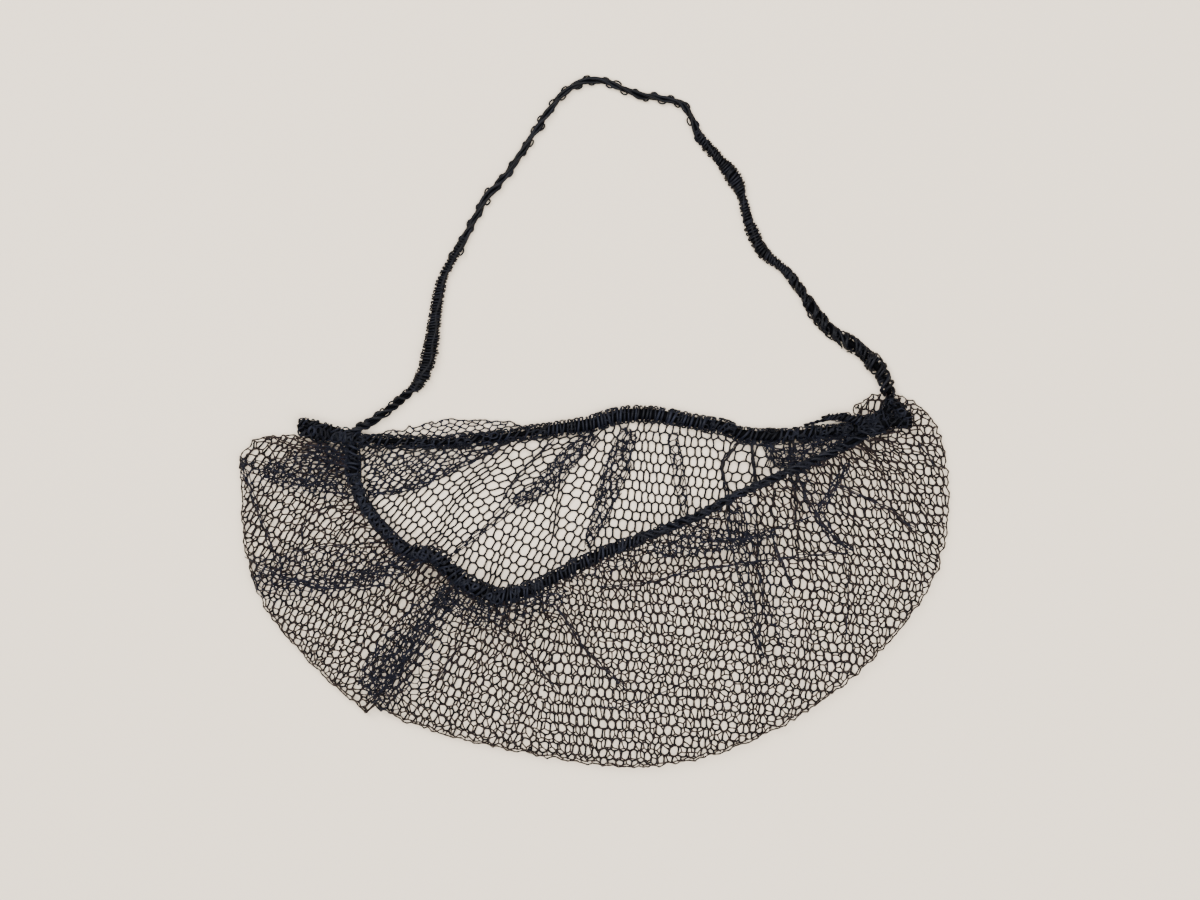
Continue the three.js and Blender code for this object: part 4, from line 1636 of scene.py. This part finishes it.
def clipped(ends: Array, edge: Array) -> Array:
    """Cuts strands at a closed edge.

    Args:
        ends: Pairs of ends, of shape (n, 2, columns), which start with a flat place.
        edge: The corners of the closed line that they stay within.

    Returns:
        The pairs of ends of what lies inside.
    """
    inner = np.stack([inside(ends[:, 0, :2], edge), inside(ends[:, 1, :2], edge)], axis=1)
    whole, crossing = ends[inner.all(axis=1)], inner.sum(axis=1) == 1
    cut, flip = ends[crossing], inner[crossing][:, 1]
    cut[flip] = cut[flip][:, ::-1]
    low, high = np.zeros(len(cut)), np.ones(len(cut))
    for _ in range(HALVINGS):
        half = (low + high) / 2
        probe = cut[:, 0, :2] + (cut[:, 1, :2] - cut[:, 0, :2]) * half[:, None]
        held = inside(probe, edge)
        low, high = np.where(held, half, low), np.where(held, high, half)
    cut[:, 1] = cut[:, 0] + (cut[:, 1] - cut[:, 0]) * low[:, None]
    return np.concatenate([whole, cut])


@dataclass
class TuckedEdge(NetLayer):
    """The slack of the back layer that is folded up behind the left half of the back rim band."""

    cell: float = 0.0028
    upright: float = 0.0007
    zigzag: float = 0.00055
    strand: float = 0.00020
    knot: float = 0.00027
    tilt: float = 0.22
    middle: Pair = (-0.0465, 0.0395)
    corner: Pair = (0.045, 0.03)
    height: float = 0.0013
    wave: float = 0.012
    wave_size: float = 0.0004
    jitter: float = 0.00018
    upper_lines: int = 1
    lower_lines: int = 2
    line_step: float = 0.0017
    line_gap: float = 0.0009
    line_sway: float = 0.0004
    line_wave: float = 0.006
    line_jitter: float = 0.0002
    upper: tuple[Pair, ...] = (
        (-0.0727, 0.0450), (-0.0649, 0.0462), (-0.0571, 0.0474), (-0.0500, 0.0494), (-0.0440, 0.0502),
        (-0.0330, 0.0500), (-0.0250, 0.0492), (-0.0200, 0.0474),
    )
    lower: tuple[Pair, ...] = (
        (-0.0260, 0.0434), (-0.0325, 0.0394), (-0.0440, 0.0341), (-0.0555, 0.0288), (-0.0700, 0.0262),
    )
    seed: int = 37

    def build(self, bundle: ThreadBundle) -> None:
        """Adds the strands of the folded net to a bundle."""
        rng = np.random.default_rng(self.seed)
        upper, lower = Route(self.upper, 2), Route(self.lower, 2)
        edge = np.vstack([upper.line, lower.line])
        low = (-self.corner[0], -self.corner[1])
        comb = Honeycomb(self.cell, self.upright, self.zigzag, low, self.corner)
        flat = comb.knots @ spin(self.tilt) + np.array(self.middle)
        flat += rng.normal(size=flat.shape) * self.jitter
        height = self.height + self.wave_size * Wander(rng, self.wave, 2).at(flat)
        knots = np.column_stack([flat, height])
        self.draw(bundle, clipped(knots[comb.strands], edge), rng)
        for route, lines in ((upper, self.upper_lines), (lower, self.lower_lines)):
            for line in range(lines):
                along = np.linspace(0.0, route.length, round(route.length / self.line_step))
                flat = route.at(along) + rng.normal(size=(len(along), 2)) * self.line_jitter
                sway = self.line_sway * Wander(rng, self.line_wave).at(along)
                flat[:, 1] += self.line_gap * line + sway
                places = np.column_stack([flat, np.full(len(flat), self.height)])
                self.draw(bundle, paired(places), rng)


# Each crease's route, reach, pinch, lift and lines of thread.
FRONT_CREASES = (
    Crease((
        (-0.1095, 0.0375), (-0.1030, 0.0200), (-0.0990, 0.0100), (-0.0960, 0.0040),
    ), 0.0034, 0.80, 0.0006, 3),
    Crease((
        (-0.1080, 0.0078), (-0.0988, 0.0030), (-0.0855, -0.0011), (-0.0740, -0.0014), (-0.0640, -0.0008),
    ), 0.0032, 0.35, 0.0006, 2),
    Crease((
        (-0.0895, 0.0060), (-0.0900, 0.0130), (-0.0885, 0.0190), (-0.0810, 0.0243),
    ), 0.0034, 0.60, 0.0006, 1),
    Crease((
        (-0.0960, 0.0090), (-0.0844, 0.0110), (-0.0740, 0.0118), (-0.0650, 0.0125),
    ), 0.0032, 0.50, 0.0006, 1),
    Crease((
        (-0.0115, -0.0065), (-0.0060, -0.0150), (-0.0010, -0.0222), (0.0100, -0.0325),
    ), 0.0042, 0.85, 0.0010, 2),
    Crease((
        (-0.0325, -0.0130), (-0.0240, -0.0170), (-0.0165, -0.0270), (-0.0105, -0.0340),
    ), 0.0036, 0.80, 0.0008, 1),
    Crease(((-0.0400, -0.0180), (-0.0515, -0.0340)), 0.0036, 0.75, 0.0006, 1),
    Crease((
        (0.0020, -0.0010), (0.0163, 0.0), (0.0306, 0.0039), (0.0471, 0.0061), (0.0605, 0.0079),
        (0.0786, 0.0092),
    ), 0.0034, 0.85, 0.0009, 2),
    Crease((
        (0.0506, 0.0045), (0.0521, -0.0086), (0.0506, -0.0170), (0.0549, -0.0270),
    ), 0.0036, 0.85, 0.0010, 1),
    Crease(((0.0549, 0.0142), (0.0590, 0.0039), (0.0621, -0.0023)), 0.0034, 0.80, 0.0008, 2),
    Crease(((0.0780, 0.0086), (0.0786, -0.0048), (0.0776, -0.0180)), 0.0034, 0.85, 0.0008, 1),
    Crease(((0.0780, 0.0369), (0.0760, 0.0316), (0.0702, 0.0235)), 0.0034, 0.90, 0.0008, 2),
    Crease((
        (0.0630, 0.0322), (0.0686, 0.0213), (0.0739, 0.0142), (0.0801, 0.0101),
    ), 0.0036, 0.90, 0.0008, 2),
    Crease(((0.0740, 0.0303), (0.0884, 0.0242), (0.0992, 0.0166)), 0.0034, 0.85, 0.0007, 2),
    Crease(((0.0712, 0.0252), (0.0780, 0.0212), (0.0850, 0.0168)), 0.0034, 0.80, 0.0006, 1),
    Crease(((0.0998, 0.0444), (0.1030, 0.0400), (0.1058, 0.0350)), 0.0030, 0.70, 0.0005, 1),
    Crease((
        (0.0331, 0.0132), (0.0475, 0.0135), (0.0537, 0.0157), (0.0671, 0.0204),
    ), 0.0038, 0.85, 0.0008, 2),
    Crease((
        (0.0020, -0.0384), (0.0126, -0.0372), (0.0235, -0.0328), (0.0328, -0.0279),
    ), 0.0034, 0.75, 0.0006, 1),
)

# Each pleat's rows, the slack laid out for it, the part from the left and its reach.
FRONT_PLEATS = (
    Pleat(((0.0, 0.030, 0.0050), (1.0, 0.034, 0.0060)), 0.0050, 0.5, 0.020),
    Pleat(((0.0, 0.068, 0.0060), (0.6, 0.080, 0.0100), (1.0, 0.090, 0.0120)), 0.0070, 0.5, 0.030),
    Pleat((
        (0.0, 0.1235, 0.0040), (0.08, 0.1235, 0.0060), (0.16, 0.122, 0.0130), (1.0, 0.126, 0.0110),
    ), 0.0100, 0.5, 0.020),
    Pleat((
        (0.0, 0.260, 0.0), (0.15, 0.262, 0.0), (0.4, 0.268, 0.0030), (1.0, 0.279, 0.0060),
    ), 0.0, 0.5, 0.025),
)

# Each fold's route with its half widths, its layers, squeeze and lines of thread.
FRONT_FOLDS = (
    Fold((
        (-0.0700, -0.0335, 0.0040), (-0.0624, -0.0219, 0.0052), (-0.0552, -0.0135, 0.0047),
        (-0.0496, -0.0067, 0.0044), (-0.0440, -0.0026, 0.0036),
    ), 1, 0.7, 3),
    Fold(((-0.0697, -0.0333, 0.0044), (-0.0640, -0.0250, 0.0050), (-0.0580, -0.0165, 0.0034)), 1, 0.7, 2),
    Fold((
        (-0.1056, 0.0070, 0.0018), (-0.0958, 0.0048, 0.0042), (-0.0809, 0.0053, 0.0056),
        (-0.0671, 0.0048, 0.0054), (-0.0555, 0.0059, 0.0034),
    ), 1, 0.8, 0),
    Fold((
        (-0.1020, 0.0350, 0.0022), (-0.0940, 0.0343, 0.0048), (-0.0860, 0.0348, 0.0066),
        (-0.0790, 0.0358, 0.0070), (-0.0750, 0.0365, 0.0050),
    ), 2),
    Fold(((-0.0905, 0.0405, 0.0018), (-0.0850, 0.0408, 0.0030), (-0.0780, 0.0395, 0.0038)), 1, 0.6),
    Fold((
        (-0.0480, -0.0030, 0.0026), (-0.0360, -0.0090, 0.0040), (-0.0200, -0.0070, 0.0036),
        (-0.0080, -0.0030, 0.0018),
    ), 2),
    Fold((
        (-0.0060, 0.0010, 0.0016), (0.0100, 0.0070, 0.0022), (0.0260, 0.0140, 0.0022),
        (0.0400, 0.0210, 0.0016),
    ), 1),
    Fold((
        (0.0190, 0.0090, 0.0018), (0.0330, 0.0125, 0.0038), (0.0440, 0.0135, 0.0028),
        (0.0580, 0.0160, 0.0010),
    ), 2),
    Fold((
        (0.0420, 0.0220, 0.0014), (0.0450, 0.0080, 0.0018), (0.0480, -0.0080, 0.0018),
        (0.0520, -0.0240, 0.0006),
    ), 1, 0.7, 2),
    Fold((
        (0.0620, 0.0338, 0.0030), (0.0662, 0.0276, 0.0024), (0.0693, 0.0209, 0.0018),
        (0.0744, 0.0131, 0.0010), (0.0796, 0.0095, 0.0006),
    ), 1, 0.65, 2),
    Fold(((0.0790, 0.0370, 0.0008), (0.0750, 0.0310, 0.0011), (0.0693, 0.0209, 0.0011)), 1, 0.65, 2),
)

BACK_PLEATS = (
    Pleat((
        (0.0, 0.0430, 0.0), (0.0285, 0.0419, 0.0010), (0.0353, 0.0400, 0.0014), (0.0431, 0.0450, 0.0014),
    ), 0.0, 0.0),
    Pleat(((0.0, 0.0510, 0.0), (0.0307, 0.0505, 0.0014), (0.0422, 0.0495, 0.0018)), 0.0, 0.0),
    Pleat(((0.0, 0.0560, 0.0), (0.0350, 0.0556, 0.0016), (0.0425, 0.0556, 0.0020)), 0.0, 0.0),
    Pleat(((0.0, 0.0640, 0.0), (0.0350, 0.0620, 0.0020), (0.0425, 0.0615, 0.0026)), 0.0, 0.0),
)

BACK_CREASES = (
    Crease((
        (-0.0123, 0.0443), (-0.0191, 0.0375), (-0.0238, 0.0325), (-0.0288, 0.0244),
    ), 0.0032, 0.80, 0.0006, 1),
    Crease(((-0.0100, 0.0330), (-0.0115, 0.0230), (-0.0130, 0.0120)), 0.0030, 0.70, 0.0004, 0),
    Crease(((0.0455, 0.0436), (0.0399, 0.0364), (0.0419, 0.0276)), 0.0026, 0.70, 0.0006, 2),
    Crease(((0.0491, 0.0430), (0.0496, 0.0370), (0.0502, 0.0307)), 0.0026, 0.70, 0.0006, 2),
    Crease(((0.0553, 0.0441), (0.0550, 0.0400), (0.0543, 0.0360)), 0.0026, 0.70, 0.0006, 2),
)

LEFT_PLEAT = (
    (-0.0443, 0.0082, 0.0005), (-0.0334, 0.0168, 0.0010), (-0.0247, 0.0243, 0.0018),
    (-0.0146, 0.0306, 0.0028), (-0.0072, 0.0389, 0.0030), (0.0003, 0.0458, 0.0020),
)
MIDDLE_PLEAT = (
    (-0.0023, 0.0104, 0.0006), (-0.0006, 0.0151, 0.0015), (0.0021, 0.0201, 0.0026),
    (0.0045, 0.0273, 0.0032), (0.0069, 0.0344, 0.0037), (0.0093, 0.0415, 0.0033), (0.0113, 0.0475, 0.0018),
)

BACK_FOLDS = (
    Fold(MIDDLE_PLEAT, 2, 0.68, 2),
    Fold(LEFT_PLEAT[:3], 0, 0.68, 3),
    Fold(LEFT_PLEAT[2:], 2, 0.68, 3),
    Fold(((0.0245, 0.0462, 0.0017), (0.0270, 0.0300, 0.0017), (0.0288, 0.0207, 0.0008)), 1, 0.6, 2),
    Fold((
        (0.0530, 0.0430, 0.0008), (0.0572, 0.0388, 0.0028), (0.0620, 0.0380, 0.0040),
        (0.0680, 0.0398, 0.0042), (0.0740, 0.0432, 0.0030), (0.0800, 0.0458, 0.0018),
    ), 2, 0.55, 4),
)

LEFT_SEAM = ((-0.1000, -0.0370), *(row[:2] for row in LEFT_PLEAT), (0.0060, 0.0540))
MIDDLE_SEAM = (
    (-0.0230, -0.0650), (-0.0085, -0.0050), *(row[:2] for row in MIDDLE_PLEAT), (0.0130, 0.0560),
)
BACK_PANELS = (
    Panel(
        turn=50.0, bend=500.0, cell=0.00195, upright=0.0027, zigzag=0.0007,
        middle=(-0.0400, 0.0250), corners=((-0.1300, -0.0400), *LEFT_SEAM, (-0.1300, 0.0700)),
    ),
    Panel(
        turn=29.0, bend=0.0, cell=0.0023, upright=0.0026, zigzag=0.0007,
        middle=(-0.0150, 0.0150), corners=((-0.1000, -0.0700), *LEFT_SEAM, *MIDDLE_SEAM[::-1]),
    ),
    Panel(
        turn=6.0, bend=0.0, cell=0.0023, upright=0.0024, zigzag=0.0007,
        middle=(0.0200, 0.0250), corners=(*MIDDLE_SEAM, (0.1300, 0.0700), (0.1300, -0.0700)),
    ),
)


@dataclass
class NetPouch:
    """The pouch of honeycomb net, in its two layers."""

    front: FrontLayer = field(
        default_factory=lambda: FrontLayer(creases=FRONT_CREASES, pleats=FRONT_PLEATS)
    )
    front_folds: FoldedStrips = field(
        default_factory=lambda: FoldedStrips(folds=FRONT_FOLDS, creases=FRONT_CREASES, seed=31)
    )
    back: BackLayer = field(
        default_factory=lambda: BackLayer(panels=BACK_PANELS, creases=BACK_CREASES, pleats=BACK_PLEATS)
    )
    back_folds: FoldedStrips = field(
        default_factory=lambda: FoldedStrips(folds=BACK_FOLDS, creases=BACK_CREASES, seed=33)
    )
    tuck: TuckedEdge = field(default_factory=TuckedEdge)
    front_flat: Pair = (0.330, 0.070)
    back_flat: Pair = (0.265, 0.106)
    finish: ThreadFinish = ThreadFinish(
        "net_nylon_thread", (0.0070, 0.0038, 0.0033, 1.0), (0.033, 0.0235, 0.024, 1.0),
        twist=0.0011, roughness=0.42, relief=0.00004,
    )
    back_finish: ThreadFinish = ThreadFinish(
        "net_back_thread", (0.0032, 0.0028, 0.0034, 1.0), (0.022, 0.0205, 0.0245, 1.0),
        twist=0.0011, roughness=0.42, relief=0.00004,
    )
    fold_finish: ThreadFinish = ThreadFinish(
        "net_fold_thread", (0.0030, 0.0032, 0.0056, 1.0), (0.017, 0.019, 0.034, 1.0),
        twist=0.0011, roughness=0.45, relief=0.00004,
    )

    def build(self) -> list[Object]:
        """Makes both layers and their folds, and says how each layer was cut.

        Returns:
            The pieces.
        """
        front_material, back_material = self.finish.build(), self.back_finish.build()
        fold_material = self.fold_finish.build()
        front, front_strips, back, back_strips = (ThreadBundle() for _ in range(4))
        front_ground = self.front.build(front, front_strips)
        self.front_folds.build(front_strips, front_ground)
        back_ground = self.back.build(back, self.front.border())
        self.back_folds.build(back_strips, back_ground)
        self.tuck.build(back_strips)
        layers = [
            front.build("net_front_layer", front_material),
            back.build("net_back_layer", back_material),
        ]
        strips = [
            front_strips.build("net_front_folds", fold_material),
            back_strips.build("net_back_folds", fold_material),
        ]
        dress([*layers, *strips], "net_pouch")
        cuts = (self.front_flat, self.back_flat)
        for piece, fold, flat, layer in zip(layers, strips, cuts, (self.front, self.back)):
            LOG.info("%s: threads cover %.5f m2 of %.5f", piece.name, layer.flat_area, flat[0] * flat[1])
        return [*layers, *strips]


BAND_THREAD = ThreadFinish(
    "overlock_thread", (0.0005, 0.0005, 0.0008, 1.0), (0.016, 0.0185, 0.031, 1.0),
    twist=0.0010, roughness=0.36, relief=0.00006,
)
STRAP_THREAD = ThreadFinish(
    "strap_thread", (0.0006, 0.0006, 0.0008, 1.0), (0.011, 0.0122, 0.019, 1.0),
    twist=0.0010, roughness=0.40, relief=0.00006,
)
# The elastic's own dark colour, made darker than the threads so that the gaps between the stitches look
# deep: partly painted shade in those gaps.
ELASTIC_AND_GAP_SHADE = ElasticFinish("elastic_core_and_gap_shade", (0.0002, 0.0002, 0.0003, 1.0), (0.0010, 0.0011, 0.0018, 1.0))


@dataclass
class RimBand:
    """One elastic edge of the mouth, overlocked to the net."""

    name: str
    node: str
    stations: tuple[Station, ...]
    stitches: tuple[Stitch, ...]
    core: tuple[Pair, ...]
    seed: int
    flatness: float = 0.85

    def build(self, thread: Material, elastic: Material) -> list[Object]:
        """Makes the elastic and the stitching round it.

        Args:
            thread: The finish of the threads.
            elastic: The finish of the elastic, whose near-black colour is partly painted shade between the
                stitches.

        Returns:
            The pieces.
        """
        rng = np.random.default_rng(self.seed)
        route = Route(self.stations)
        bundle = ThreadBundle()
        for stitch in self.stitches:
            stitch.sew(route, bundle, rng)
        pieces = [
            swept_core(f"{self.name}_elastic", route.narrowed(self.core), self.flatness, elastic),
            bundle.build(f"{self.name}_overlock", thread),
        ]
        dress(pieces, self.node)
        return pieces


class TabRun(NamedTuple):
    """One bunched strand of a corner tab, with its stitching."""

    stations: tuple[Station, ...]
    stitches: tuple[Stitch, ...]


@dataclass
class CornerTab:
    """A bunched corner of the mouth, sewn over with overlock thread."""

    name: str
    node: str
    runs: tuple[TabRun, ...]
    knot_spots: tuple[Place, ...]
    seed: int
    loops_per_spot: int = 10
    flatness: float = 0.75
    core: tuple[Pair, ...] = ((0.0, 0.82), (1.0, 0.82))
    loose: LooseLoops = LooseLoops()

    def build(self, thread: Material, elastic: Material) -> list[Object]:
        """Makes the bunched cores and the stitching round them.

        Args:
            thread: The finish of the threads.
            elastic: The finish of the bunched cores, whose near-black colour is partly painted shade
                between the stitches.

        Returns:
            The pieces.
        """
        rng = np.random.default_rng(self.seed)
        bundle = ThreadBundle()
        pieces = []
        for number, run in enumerate(self.runs):
            route = Route(run.stations)
            core = route.narrowed(self.core)
            pieces.append(swept_core(f"{self.name}_bunch_{number + 1}", core, self.flatness, elastic))
            for stitch in run.stitches:
                stitch.sew(route, bundle, rng)
        spots = np.repeat(np.array(self.knot_spots), self.loops_per_spot, axis=0)
        self.loose.sew(spots, bundle, rng)
        pieces.append(bundle.build(f"{self.name}_overlock", thread))
        dress(pieces, self.node)
        return pieces


@dataclass
class HeadStrap:
    """The elastic that goes round the back of the head, with loose plies and thread wrapped round it."""

    diameter: float = 0.003
    stations: int = 141
    smoothing: int = 3
    flatness: float = 0.8
    thread_room: float = 0.0001
    seed: int = 71

    def _route(self) -> Route:
        """Fits the strap's line and width, with its bends eased as far as a limp cord needs.

        Returns:
            The line, whose fourth column is its half width.
        """
        plain = Route(STRAP_ROUTE)
        distances = np.linspace(0.0, plain.length, self.stations)
        places = plain.at(distances)
        for _ in range(self.smoothing):
            places[1:-1] = (places[:-2] + 2 * places[1:-1] + places[2:]) / 4
        share, half = np.array(STRAP_WIDTHS).T
        widths = np.interp(distances / plain.length, share, half) - self.thread_room
        places[:, 2] += np.maximum(widths * self.flatness - self.diameter / 2, 0.0)
        return Route(np.column_stack([places, widths]))

    def build(self, thread: Material, elastic: Material) -> list[Object]:
        """Makes the elastic as a cord, and the threads round it.

        Args:
            thread: The finish of the threads.
            elastic: The finish of the elastic, whose near-black colour is partly painted shade between the
                stitches.

        Returns:
            The pieces.
        """
        rng = np.random.default_rng(self.seed)
        route = self._route()
        core = swept_core("head_strap_elastic", route.narrowed(STRAP_CORE), self.flatness, elastic)
        bundle = ThreadBundle()
        for stitch in STRAP_STITCHES:
            stitch.sew(route, bundle, rng)
        wraps = bundle.build("head_strap_overlock", thread)
        dress([core, wraps], "head_strap")
        return [core, wraps]


ROLLED_EDGE = (
    Ribs(flatness=0.75, thick=0.0003, spacing=0.0016, slant=0.0010, lean=0.0004, ragged=0.06),
    CrossLoops((0.0, 0.14), cover=0.5, size=0.0007, thread=0.00022, flatness=0.75),
    SideLoops((0.76, 0.86), spacing=0.0017, size=0.0009, base=0.8, thread=0.00024, sides=(Side.LEFT,)),
    SideLoops((0.2, 0.7), spacing=0.0017, size=0.00022, thread=0.00025, sides=(Side.LEFT,)),
)
CHUNKY_LOOPS = (
    Ribs(flatness=0.75, thick=0.0003, spacing=0.0036, lean=0.0012),
    Rings((0.10, 1.0), flatness=0.75, spacing=0.0022, size=0.0014, thread=0.00034, spread=0.35),
)
LEFT_TAB_RUNS = (
    TabRun((
        (-0.0914, 0.0493, 0.0036, 0.0009), (-0.0893, 0.0496, 0.0040, 0.0011),
        (-0.0833, 0.0481, 0.0042, 0.0011), (-0.0771, 0.0462, 0.0044, 0.0011),
        (-0.0735, 0.0451, 0.0044, 0.0013),
    ), ROLLED_EDGE),
    TabRun((
        (-0.0913, 0.0490, 0.0034, 0.0010), (-0.0904, 0.0468, 0.0036, 0.0012),
        (-0.0866, 0.0452, 0.0038, 0.0012), (-0.0800, 0.0446, 0.0040, 0.0012),
        (-0.0745, 0.0438, 0.0042, 0.0014),
    ), CHUNKY_LOOPS),
    TabRun((
        (-0.0900, 0.0478, 0.0036, 0.0013), (-0.0840, 0.0464, 0.0040, 0.0015),
        (-0.0790, 0.0453, 0.0042, 0.0014), (-0.0745, 0.0443, 0.0044, 0.0014),
    ), CHUNKY_LOOPS),
    TabRun((
        (-0.0790, 0.0448, 0.0040, 0.0012), (-0.0755, 0.0462, 0.0040, 0.0012),
        (-0.0720, 0.0479, 0.0036, 0.0010), (-0.0696, 0.0492, 0.0030, 0.0009),
    ), (Plies(thick=0.0004, pitch=0.012),)),
)

LATTICE = (
    Ribs(flatness=0.75, thick=0.00022, spacing=0.0021, lean=0.0012),
    CrossLoops(flatness=0.75, cover=0.6, size=0.0012, thread=0.00018),
    SideLoops(spacing=0.0018, size=0.0003),
)
TAIL = (
    Ribs((0.04, 1.0), flatness=0.75, thick=0.00026, spacing=0.0013, slant=0.0010, lean=0.0004),
    CrossLoops((0.2, 1.0), flatness=0.75, cover=0.4, size=0.0008, thread=0.00018),
)
RIGHT_TAB_RUNS = (
    TabRun((
        (0.0815, 0.0474, 0.0038, 0.0015), (0.0870, 0.0488, 0.0042, 0.0019),
        (0.0930, 0.0498, 0.0044, 0.0021), (0.0986, 0.0494, 0.0040, 0.0015),
    ), LATTICE),
    TabRun((
        (0.0982, 0.0505, 0.0040, 0.0014), (0.0952, 0.0531, 0.0044, 0.0018),
        (0.0932, 0.0555, 0.0042, 0.0011), (0.0922, 0.0578, 0.0038, 0.0010),
    ), LATTICE),
    TabRun((
        (0.0872, 0.0505, 0.0042, 0.0013), (0.0902, 0.0521, 0.0045, 0.0019),
        (0.0915, 0.0546, 0.0043, 0.0014), (0.0917, 0.0576, 0.0040, 0.0009),
    ), LATTICE),
    TabRun((
        (0.0706, 0.0510, 0.0030, 0.0004), (0.0723, 0.0512, 0.0031, 0.0007),
        (0.0750, 0.0511, 0.0033, 0.0011), (0.0780, 0.0510, 0.0035, 0.0013),
        (0.0823, 0.0502, 0.0037, 0.0014), (0.0860, 0.0499, 0.0040, 0.0015),
        (0.0892, 0.0506, 0.0042, 0.0014),
    ), TAIL),
    TabRun((
        (0.0653, 0.0485, 0.0026, 0.0004), (0.0680, 0.0493, 0.0028, 0.0005),
        (0.0708, 0.0500, 0.0029, 0.0005), (0.0745, 0.0506, 0.0031, 0.0005),
    ), (Plies(thick=0.00022, pitch=0.005, count=2),)),
)


class Lamp(NamedTuple):
    """A square soft lamp."""

    name: str
    place: Place
    size: float
    power: float


@dataclass
class Studio:
    """A pale table top, soft light and a camera straight above."""

    MILLIMETRES = 1000
    FLOOR_PARTS = 4

    view_width: float = 0.3734
    view_middle: Pair = (0.0020, 0.0409)
    camera_height: float = 1.0
    camera_near: float = 0.01
    sensor: float = 0.036
    floor_size: float = 4.0
    finish: PaperFinish = PaperFinish("pale_table", (0.84, 0.71, 0.555, 1.0), (0.87, 0.745, 0.59, 1.0))
    sky_colour: Colour = (1.0, 1.0, 1.0, 1.0)
    sky_strength: float = 0.2
    aim: Place = (0.0, 0.04, 0.0)
    lamps: tuple[Lamp, ...] = (
        Lamp("top_lamp", (0.0, 0.04, 1.6), 1.6, 56.0),
        Lamp("key_lamp", (-0.7, 0.9, 1.3), 0.9, 28.0),
        Lamp("fill_lamp", (0.9, -0.5, 1.2), 1.2, 14.0),
    )

    def camera(self) -> None:
        """Adds the camera at the photograph's viewing angle."""
        lens = bpy.data.cameras.new("camera")
        lens.sensor_width = self.sensor * self.MILLIMETRES
        lens.lens = self.sensor * self.MILLIMETRES * self.camera_height / self.view_width
        lens.clip_start = self.camera_near
        eye = bpy.data.objects.new("camera", lens)
        eye.location = (*self.view_middle, self.camera_height)
        bpy.context.scene.collection.objects.link(eye)
        bpy.context.scene.camera = eye

    def floor(self) -> None:
        """Adds the table top."""
        shell = bmesh.new()
        half, parts = self.floor_size / 2, self.FLOOR_PARTS
        bmesh.ops.create_grid(shell, x_segments=parts, y_segments=parts, size=half)
        mesh = bpy.data.meshes.new("table_top")
        shell.to_mesh(mesh)
        shell.free()
        mesh.materials.append(self.finish.build())
        placed("table_top", mesh)

    def lights(self) -> None:
        """Adds a dim even sky and the lamps."""
        world = bpy.data.worlds.new("soft_sky")
        world.use_nodes = True
        sky = world.node_tree.nodes["Background"]
        sky.inputs["Color"].default_value = self.sky_colour
        sky.inputs["Strength"].default_value = self.sky_strength
        bpy.context.scene.world = world
        for lamp in self.lamps:
            light = bpy.data.lights.new(lamp.name, "AREA")
            light.size, light.energy = lamp.size, lamp.power
            stand = bpy.data.objects.new(lamp.name, light)
            stand.location = lamp.place
            ray = Vector(self.aim) - Vector(lamp.place)
            stand.rotation_euler = ray.to_track_quat("-Z", "Y").to_euler()
            bpy.context.scene.collection.objects.link(stand)


FRONT_BAND = RimBand("front_rim", "front_rim_band", FRONT_RIM, FRONT_STITCHES, FRONT_CORE, seed=41)
BACK_BAND = RimBand("back_rim", "back_rim_band", BACK_RIM, BACK_STITCHES, BACK_CORE, seed=43)
LEFT_KNOTS = ((-0.0760, 0.0425, 0.0045), (-0.0745, 0.0385, 0.0048))
RIGHT_KNOTS = ((0.0915, 0.0545, 0.0045), (0.0950, 0.0510, 0.0050), (0.0870, 0.0500, 0.0050))
LEFT_TAB = CornerTab("left_tab", "left_corner_tab", LEFT_TAB_RUNS, LEFT_KNOTS, seed=53)
RIGHT_TAB = CornerTab("right_tab", "right_corner_tab", RIGHT_TAB_RUNS, RIGHT_KNOTS, seed=59)


def main() -> None:
    """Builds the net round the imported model."""
    logging.basicConfig(level=logging.INFO, format="%(name)s: %(message)s")
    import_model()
    studio = Studio()
    studio.camera()
    band_thread, strap_thread, elastic = BAND_THREAD.build(), STRAP_THREAD.build(), ELASTIC_AND_GAP_SHADE.build()
    made = HeadStrap().build(strap_thread, elastic)
    made += NetPouch().build()
    for part in (FRONT_BAND, BACK_BAND, LEFT_TAB, RIGHT_TAB):
        made += part.build(band_thread, elastic)
    studio.floor()
    studio.lights()
    for piece in made:
        piece.data.calc_loop_triangles()
        LOG.info("%s: %d triangles", piece.name, len(piece.data.loop_triangles))


if __name__ == "__main__":
    main()
